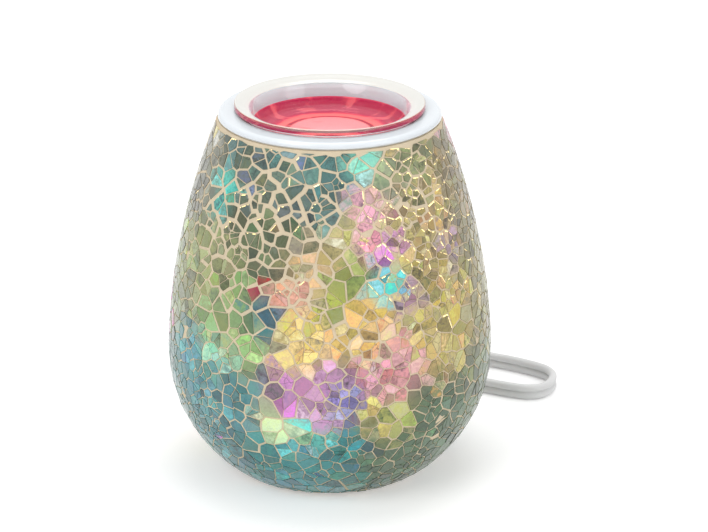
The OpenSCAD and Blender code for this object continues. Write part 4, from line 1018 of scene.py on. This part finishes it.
def makeGrout():
    g, v = groutSet, vesselSet
    heights = [v["foot"] + (v["top"] - v["foot"]) * i / g["rows"] for i in range(g["rows"] + 1)]
    face = [(skinRadius(z, g["faceDepth"]) * mm, z * mm) for z in heights]
    back = [(skinRadius(z, g["backDepth"]) * mm, z * mm) for z in heights[::-2]]
    faceRows = set(face[1:-1])

    def uneven(r, z, turn):
        if (r, z) not in faceRows:
            return r
        spot = Vector((r * math.sin(turn), -r * math.cos(turn), z)) / (g["reliefSize"] * mm)
        return r + (noise.noise(spot) - g["reliefMiddle"]) * g["relief"] * mm
    made = lathe("groutCoat", face + back, g["steps"], uneven, ring=True)
    # the coat opens round the bushing
    hole, middle = g["holeR"] * mm, exitMiddle * mm
    for vertex in made.data.vertices:
        arm = vertex.co - middle
        along = arm.dot(exitWay)
        across = arm - exitWay * along
        if across.length < hole and vertex.co.y > 0:
            vertex.co = middle + exitWay * along + across.normalized() * hole
    return made


grout = makeGrout()
grout.data.materials.append(grained("groutTan", groutSet["colour"], 0.82, grainSize=0.5 * mm,
                                    toneSpread=0.09, bump=0.5, glossSpread=0.05))
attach(grout, "warmer")
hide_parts("grout_coat")
print("skin and grout done")


# the dish and its wax
dishSet = {
    "seat": 161.7, "flangeTop": 165, "flangeR": 40.7, "bowlR": 36.4,
    "lipR": 34.3, "lipZ": 162.3, "bottom": 143.5, "floor": 146.8,
    "floorRingR": 19.5, "floorStep": 0.5, "footRingR": 26,
    "bendR": 31.1, "floorBend": 5, "heelR": 33.2, "heelBend": 6, "edge": 0.6,
    "steps": 192,
    "glass": (250, 252, 252), "ior": 1.47, "rippleScale": 45,
    "flangeColour": (240, 239, 233), "edgeColour": (232, 204, 184),
    # the wall's painted light, standing for the collar's light spread through the glass: its colour and
    # strength
    "wallGlow": (216, 240, 242), "wallStrength": 0.42,
    "wallLow": 0.45,            # share of the glow that is left down at the wax
}
waxSet = {
    "top": 156.5,
    "wet": 0.05,        # it lies in the bowl's glass by a hair, as a liquid that wets it
    "surfaceColour": (255, 206, 216), "surfaceIor": 1.16, "rippleScale": 60,
    # painted light: the wax's floor glows as if lit by the lamp beneath the dish
    "glow": 0.55,
    "streakColour": (250, 140, 140), "streakScale": 190, "streakEdge": (0.56, 0.66), "streakShare": 0.55,
    # its colours from the middle of the dish outwards, each with its share of the way; the pale middle and
    # the pale band are painted light of the lamp beneath, seen through thin wax, and the deep red is where
    # the wax lies deep
    "rings": [(0.0, (250, 186, 184)), (0.49, (249, 178, 176)), (0.515, (186, 4, 56)),
              (0.56, (190, 8, 60)), (0.585, (252, 138, 132)), (0.66, (250, 128, 124)),
              (0.7, (208, 28, 92)), (0.76, (192, 4, 84)), (0.93, (184, 2, 80)), (1.0, (238, 96, 122))],
    "ringStart": 1.2, "ringWidth": 35, "swirl": 2.4, "swirlScale": 70,
}


def bowlFloor(grow=0.0):
    # the inside of the bowl from its middle to the top of its bend, moved outwards by grow
    d = dishSet
    ring = [(0, d["floor"] + d["floorStep"]), (d["floorRingR"] - 0.6, d["floor"] + d["floorStep"]),
            (d["floorRingR"] - 0.2, d["floor"] + d["floorStep"] * 0.6), (d["floorRingR"], d["floor"])]
    bend = arc(d["bendR"] - d["floorBend"], d["floor"] + d["floorBend"], d["floorBend"] + grow, -90, 0, 12)
    return [(r, z - grow) for r, z in ring] + bend


def bowlWall(z):
    d = dishSet
    low = d["floor"] + d["floorBend"]
    return d["bendR"] + (d["lipR"] - d["bendR"]) * (z - low) / (d["lipZ"] - low)


def makeDish():
    d = dishSet
    outline = bowlFloor() + [
        (bowlWall(waxSet["top"]), waxSet["top"]), (d["lipR"], d["lipZ"]),
        (d["lipR"] + 0.25, d["lipZ"] + 0.3), (d["lipR"] + 0.7, d["lipZ"] + 0.5)]
    outline += arc(d["flangeR"] - d["edge"], d["flangeTop"] - d["edge"], d["edge"], 90, 0, 6)
    outline += arc(d["flangeR"] - d["edge"], d["seat"] + d["edge"], d["edge"], 0, -90, 6)
    outline += [(d["bowlR"], d["seat"]), (d["bowlR"], d["seat"] - d["edge"])]
    outline += arc(d["heelR"] - d["heelBend"], d["bottom"] + d["heelBend"], d["heelBend"], 0, -90, 12)
    outline += [(d["footRingR"], d["bottom"]), (d["floorRingR"], d["bottom"]),
                (d["floorRingR"] - 1, d["bottom"] + 1), (0, d["bottom"] + 1)]
    return lathe("dishGlass", scaled(outline), d["steps"], smoothBelow=32)


def makeDishFinish():
    finish, tree, shader = newFinish("dishGlassClear")
    ripple = noiseOf(tree, objectPlace(tree), dishSet["rippleScale"], detail=1.0)
    fill(tree, shader, {"Base Color": rgba(*dishSet["glass"]), "Roughness": 0.01, "IOR": dishSet["ior"],
                        "Transmission Weight": 1.0, "Normal": bumped(tree, ripple, 0.08, 0.6 * mm)})
    return finish


def makeWallFinish():
    # the wall over the wax, seen from within the bowl, glows with painted light that stands for the light of
    # the collar behind it, less of it down at the wax
    finish, tree, shader = newFinish("dishWall")
    height = take(tree, "ShaderNodeSeparateXYZ", {0: objectPlace(tree)}, "Z")
    paintedLightShare = remap(tree, height, waxSet["top"] * mm, dishSet["lipZ"] * mm, dishSet["wallLow"])
    within = sums(tree, "SUBTRACT", 1.0, take(tree, "ShaderNodeNewGeometry", give="Backfacing"))
    glow = vectors(tree, "SCALE", rgba(*dishSet["wallGlow"])[:3], scale=sums(tree, "MULTIPLY", paintedLightShare, within))
    fill(tree, shader, {"Base Color": rgba(*dishSet["glass"]), "Roughness": 0.02, "IOR": dishSet["ior"],
                        "Transmission Weight": 1.0, "Emission Color": glow,
                        "Emission Strength": dishSet["wallStrength"]})
    return finish


def makeFlangeFinish(name, colour, roughness, toneSpread, clear):
    # the flange is seen against the white collar under it, and reads as milky
    return grained(name, dishSet[colour], roughness, grainSize=4 * mm, toneSpread=toneSpread, bump=0.02,
                   **{"Transmission Weight": clear, "IOR": dishSet["ior"]})


def dressDish(piece):
    # clear glass, the flange's top, its edge, and the wall over the wax
    for finish in (makeDishFinish(), makeFlangeFinish("dishFlange", "flangeColour", 0.06, 0.01, 0.1),
                   makeFlangeFinish("dishEdge", "edgeColour", 0.1, 0.03, 0.25), makeWallFinish()):
        piece.data.materials.append(finish)
    for face in piece.data.polygons:
        if face.center.z > (dishSet["lipZ"] + 0.2) * mm:
            face.material_index = 1 if face.normal.z > 0.9 else 2 if face.normal.z > 0.4 else 0
        elif face.center.z > waxSet["top"] * mm and face.normal.xy.dot(face.center.xy) < 0:
            face.material_index = 3


def makeWaxSurface():
    finish, tree, shader = newFinish("waxSurface")
    ripple = noiseOf(tree, objectPlace(tree), waxSet["rippleScale"], detail=1.0)
    fill(tree, shader, {"Base Color": rgba(*waxSet["surfaceColour"]), "Roughness": 0.03,
                        "IOR": waxSet["surfaceIor"], "Transmission Weight": 1.0,
                        "Normal": bumped(tree, ripple, 0.15, 1 * mm)})
    return finish


def makeWaxDepthAndLampGlow():
    # rings of colour on the bowl's floor and wall, bent by a swirl, with paler streaks in the red; the pale
    # middle and the emission are painted light from the lamp beneath the dish
    w = waxSet
    finish, tree, shader = newFinish("waxDepthAndLampGlow")
    place = put(tree, "ShaderNodeSeparateXYZ", {0: objectPlace(tree)})
    flat = take(tree, "ShaderNodeCombineXYZ", {0: out(place, "X"), 1: out(place, "Y")})
    swirl = noiseOf(tree, flat, w["swirlScale"], detail=2.0)
    radius = sums(tree, "MULTIPLY_ADD", swirl, w["swirl"] * mm, vectors(tree, "LENGTH", flat))
    ramp = put(tree, "ShaderNodeValToRGB", {"Fac": sums(
        tree, "DIVIDE", sums(tree, "SUBTRACT", radius, w["ringStart"] * mm), w["ringWidth"] * mm)})
    while len(ramp.color_ramp.elements) < len(w["rings"]):
        ramp.color_ramp.elements.new(0.5)
    for element, (spot, colour) in zip(ramp.color_ramp.elements, w["rings"]):
        element.position, element.color = spot, rgba(*colour)
    wide = vectors(tree, "MULTIPLY", flat, (0.4, 1.0, 1.0))
    streak = remap(tree, noiseOf(tree, wide, w["streakScale"], detail=2.0, distortion=0.8),
                   *w["streakEdge"], 0.0, w["streakShare"])
    streaked = mixed(tree, streak, out(ramp), rgba(*w["streakColour"]))
    fill(tree, shader, {"Base Color": streaked, "Emission Color": streaked, "Roughness": 0.5,
                        "Emission Strength": w["glow"]})
    return finish


def makeWax():
    top, wet, edge = waxSet["top"], waxSet["wet"], bowlWall(waxSet["top"])
    outline = bowlFloor(wet) + [(edge + wet, top), (edge + wet, top + 0.5), (edge - 0.35, top + 0.12),
                                (edge - 1.2, top), (0, top)]
    made = lathe("waxPool", scaled(outline), dishSet["steps"])
    made.data.materials.append(makeWaxSurface())
    made.data.materials.append(makeWaxDepthAndLampGlow())
    for face in made.data.polygons:
        face.material_index = 0 if face.normal.z > 0.3 else 1
    return made


dish, wax = makeDish(), makeWax()
dressDish(dish)
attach(dish, "dish")
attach(wax, "dish")
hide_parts("dish")
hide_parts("wax")
print("dish and wax done")


# the pieces that come as they are: each finish's nodes, colour, roughness and what differs
finishSet = {
    "collarGloss": (["collar"], (231, 237, 242), 0.22, {
        "toneSpread": 0.012, "bump": 0.03, "Coat Weight": 0.4, "Coat Roughness": 0.05}),
    # the vessel's glass glows a little: painted light that stands for the lamp's light filling the inside
    "vesselGlass": (["glass_vessel"], (238, 240, 238), 0.35, {
        "toneSpread": 0.03, "Transmission Weight": 0.25, "Coat Weight": 0.3,
        "Emission Color": rgba(250, 248, 250), "Emission Strength": 0.12}),
    "siliconeSoft": (["mouth_gasket", "base_seal"], (236, 236, 232), 0.55, {"toneSpread": 0.03}),
    "basePlastic": (["base_plate"], (233, 232, 227), 0.45, {"toneSpread": 0.03, "dust": 0.1}),
    "footRubber": (["rubber_feet"], (62, 61, 60), 0.8, {"toneSpread": 0.12, "bump": 0.3, "dust": 0.2}),
    "zincSteel": (["threaded_rod", "rod_nuts", "lock_washer", "switch_screws", "switch_spindle"],
                  (198, 197, 190), 0.34, {"toneSpread": 0.08, "Metallic": 1.0}),
    "brassPlain": (["screw_shell", "centre_contact", "terminal_screws", "switch_contacts",
                    "plug_blades"], (205, 168, 96), 0.3, {"toneSpread": 0.08, "Metallic": 1.0}),
    "holderIvory": (["lamp_holder"], (236, 229, 211), 0.4, {"toneSpread": 0.04, "bump": 0.1}),
    "lampNickel": (["bulb_cap", "bulb_contact", "bulb_supports"], (214, 210, 200), 0.28, {
        "toneSpread": 0.06, "Metallic": 1.0}),
    "lampBlackGlass": (["bulb_insulator"], (28, 27, 30), 0.15, {"toneSpread": 0.1}),
    "flexVinyl": (["cord_bushing", "cord_tie"], (232, 232, 232), 0.38, {
        "grainSize": 0.6 * mm, "toneSpread": 0.025, "bump": 0.12, "dust": 0.06}),
    "plugVinyl": (["switch_front", "switch_back", "switch_roller", "plug_body"], (226, 224, 220), 0.4, {
        "toneSpread": 0.025, "bump": 0.12, "dust": 0.06}),
}
# and those that are clear or shine by themselves: the grain's size and its spread come next
lampSet = {
    "lampGlass": (["bulb_glass", "bulb_stem"], (252, 252, 250), 0.02, 6 * mm, 0.02, {
        "IOR": 1.5, "Transmission Weight": 1.0,
        "Emission Color": rgba(255, 247, 234), "Emission Strength": 0.04}),
    "tungstenWire": (["bulb_filament"], (120, 118, 116), 0.4, 0.4 * mm, 0.1, {
        "Metallic": 1.0, "Emission Color": rgba(255, 170, 90), "Emission Strength": 0.6}),
}


def dressNodes(nodeNames, finish):
    for name in nodeNames:
        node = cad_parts[name]
        if not node.material_slots:
            node.data.materials.append(None)
        for materialSlot in node.material_slots:
            materialSlot.material = finish


for finishName, (nodeNames, *look, more) in finishSet.items():
    dressNodes(nodeNames, grained(finishName, *look, **more))
for finishName, (nodeNames, *look, more) in lampSet.items():
    dressNodes(nodeNames, glossy(finishName, *look, **more))
for piece in [flex, innerFlex, *leadWires]:
    piece.data.materials.append(bpy.data.materials["flexVinyl"])
print("finishes done")


# table, backdrop and light
studioSet = {
    "floorSize": 8,
    "floorColour": (236, 236, 236), "floorGlow": 0.34,
    "skyLight": 0.55,
    "aim": (0, 0, 0.08),
    "lamps": {      # place, size and power of each soft lamp
        "keyLamp": ((-1.3, -1.5, 1.7), 1.4, 20), "fillLamp": ((1.7, -1.2, 1.1), 1.2, 9),
        "topLamp": ((0.1, 0.5, 2.1), 1.6, 16),
    },
}


def seenDirectly(tree):
    # 1 for what the camera sees itself, in a gloss or through glass
    path = put(tree, "ShaderNodeLightPath")
    seen = sums(tree, "ADD", out(path, "Is Camera Ray"), out(path, "Is Glossy Ray"))
    return sums(tree, "ADD", seen, out(path, "Is Transmission Ray"), use_clamp=True)


def makeSky():
    world = bpy.data.worlds.new("studio")
    bpy.context.scene.world = world
    world.use_nodes = True
    tree = world.node_tree
    strength = remap(tree, seenDirectly(tree), 0.0, 1.0, studioSet["skyLight"], 1.0)
    fill(tree, tree.nodes["Background"], {"Color": (1, 1, 1, 1), "Strength": strength})


def makeTable():
    half = studioSet["floorSize"] / 2
    mesh = bpy.data.meshes.new("tableTop")
    mesh.from_pydata([(-half, -half, 0), (half, -half, 0), (half, half, 0), (-half, half, 0)], [],
                     [(0, 1, 2, 3)])
    finish, tree, shader = newFinish("tableWhite")
    fill(tree, shader, {"Base Color": rgba(*studioSet["floorColour"]), "Roughness": 0.9,
                        "Specular IOR Level": 0.1, "Emission Color": (1, 1, 1, 1),
                        "Emission Strength": sums(tree, "MULTIPLY", seenDirectly(tree),
                                                  studioSet["floorGlow"])})
    mesh.materials.append(finish)
    newObject("tableTop", mesh)


def makeLamps():
    for name, (place, size, power) in studioSet["lamps"].items():
        lamp = bpy.data.lights.new(name, "AREA")
        lamp.shape, lamp.size, lamp.energy = "DISK", size, power
        holder = newObject(name, lamp)
        holder.location = place
        way = Vector(studioSet["aim"]) - Vector(place)
        holder.rotation_euler = way.to_track_quat("-Z", "Y").to_euler()


makeSky()
makeTable()
makeLamps()
bpy.context.scene.view_settings.view_transform = "Standard"
print("studio done")
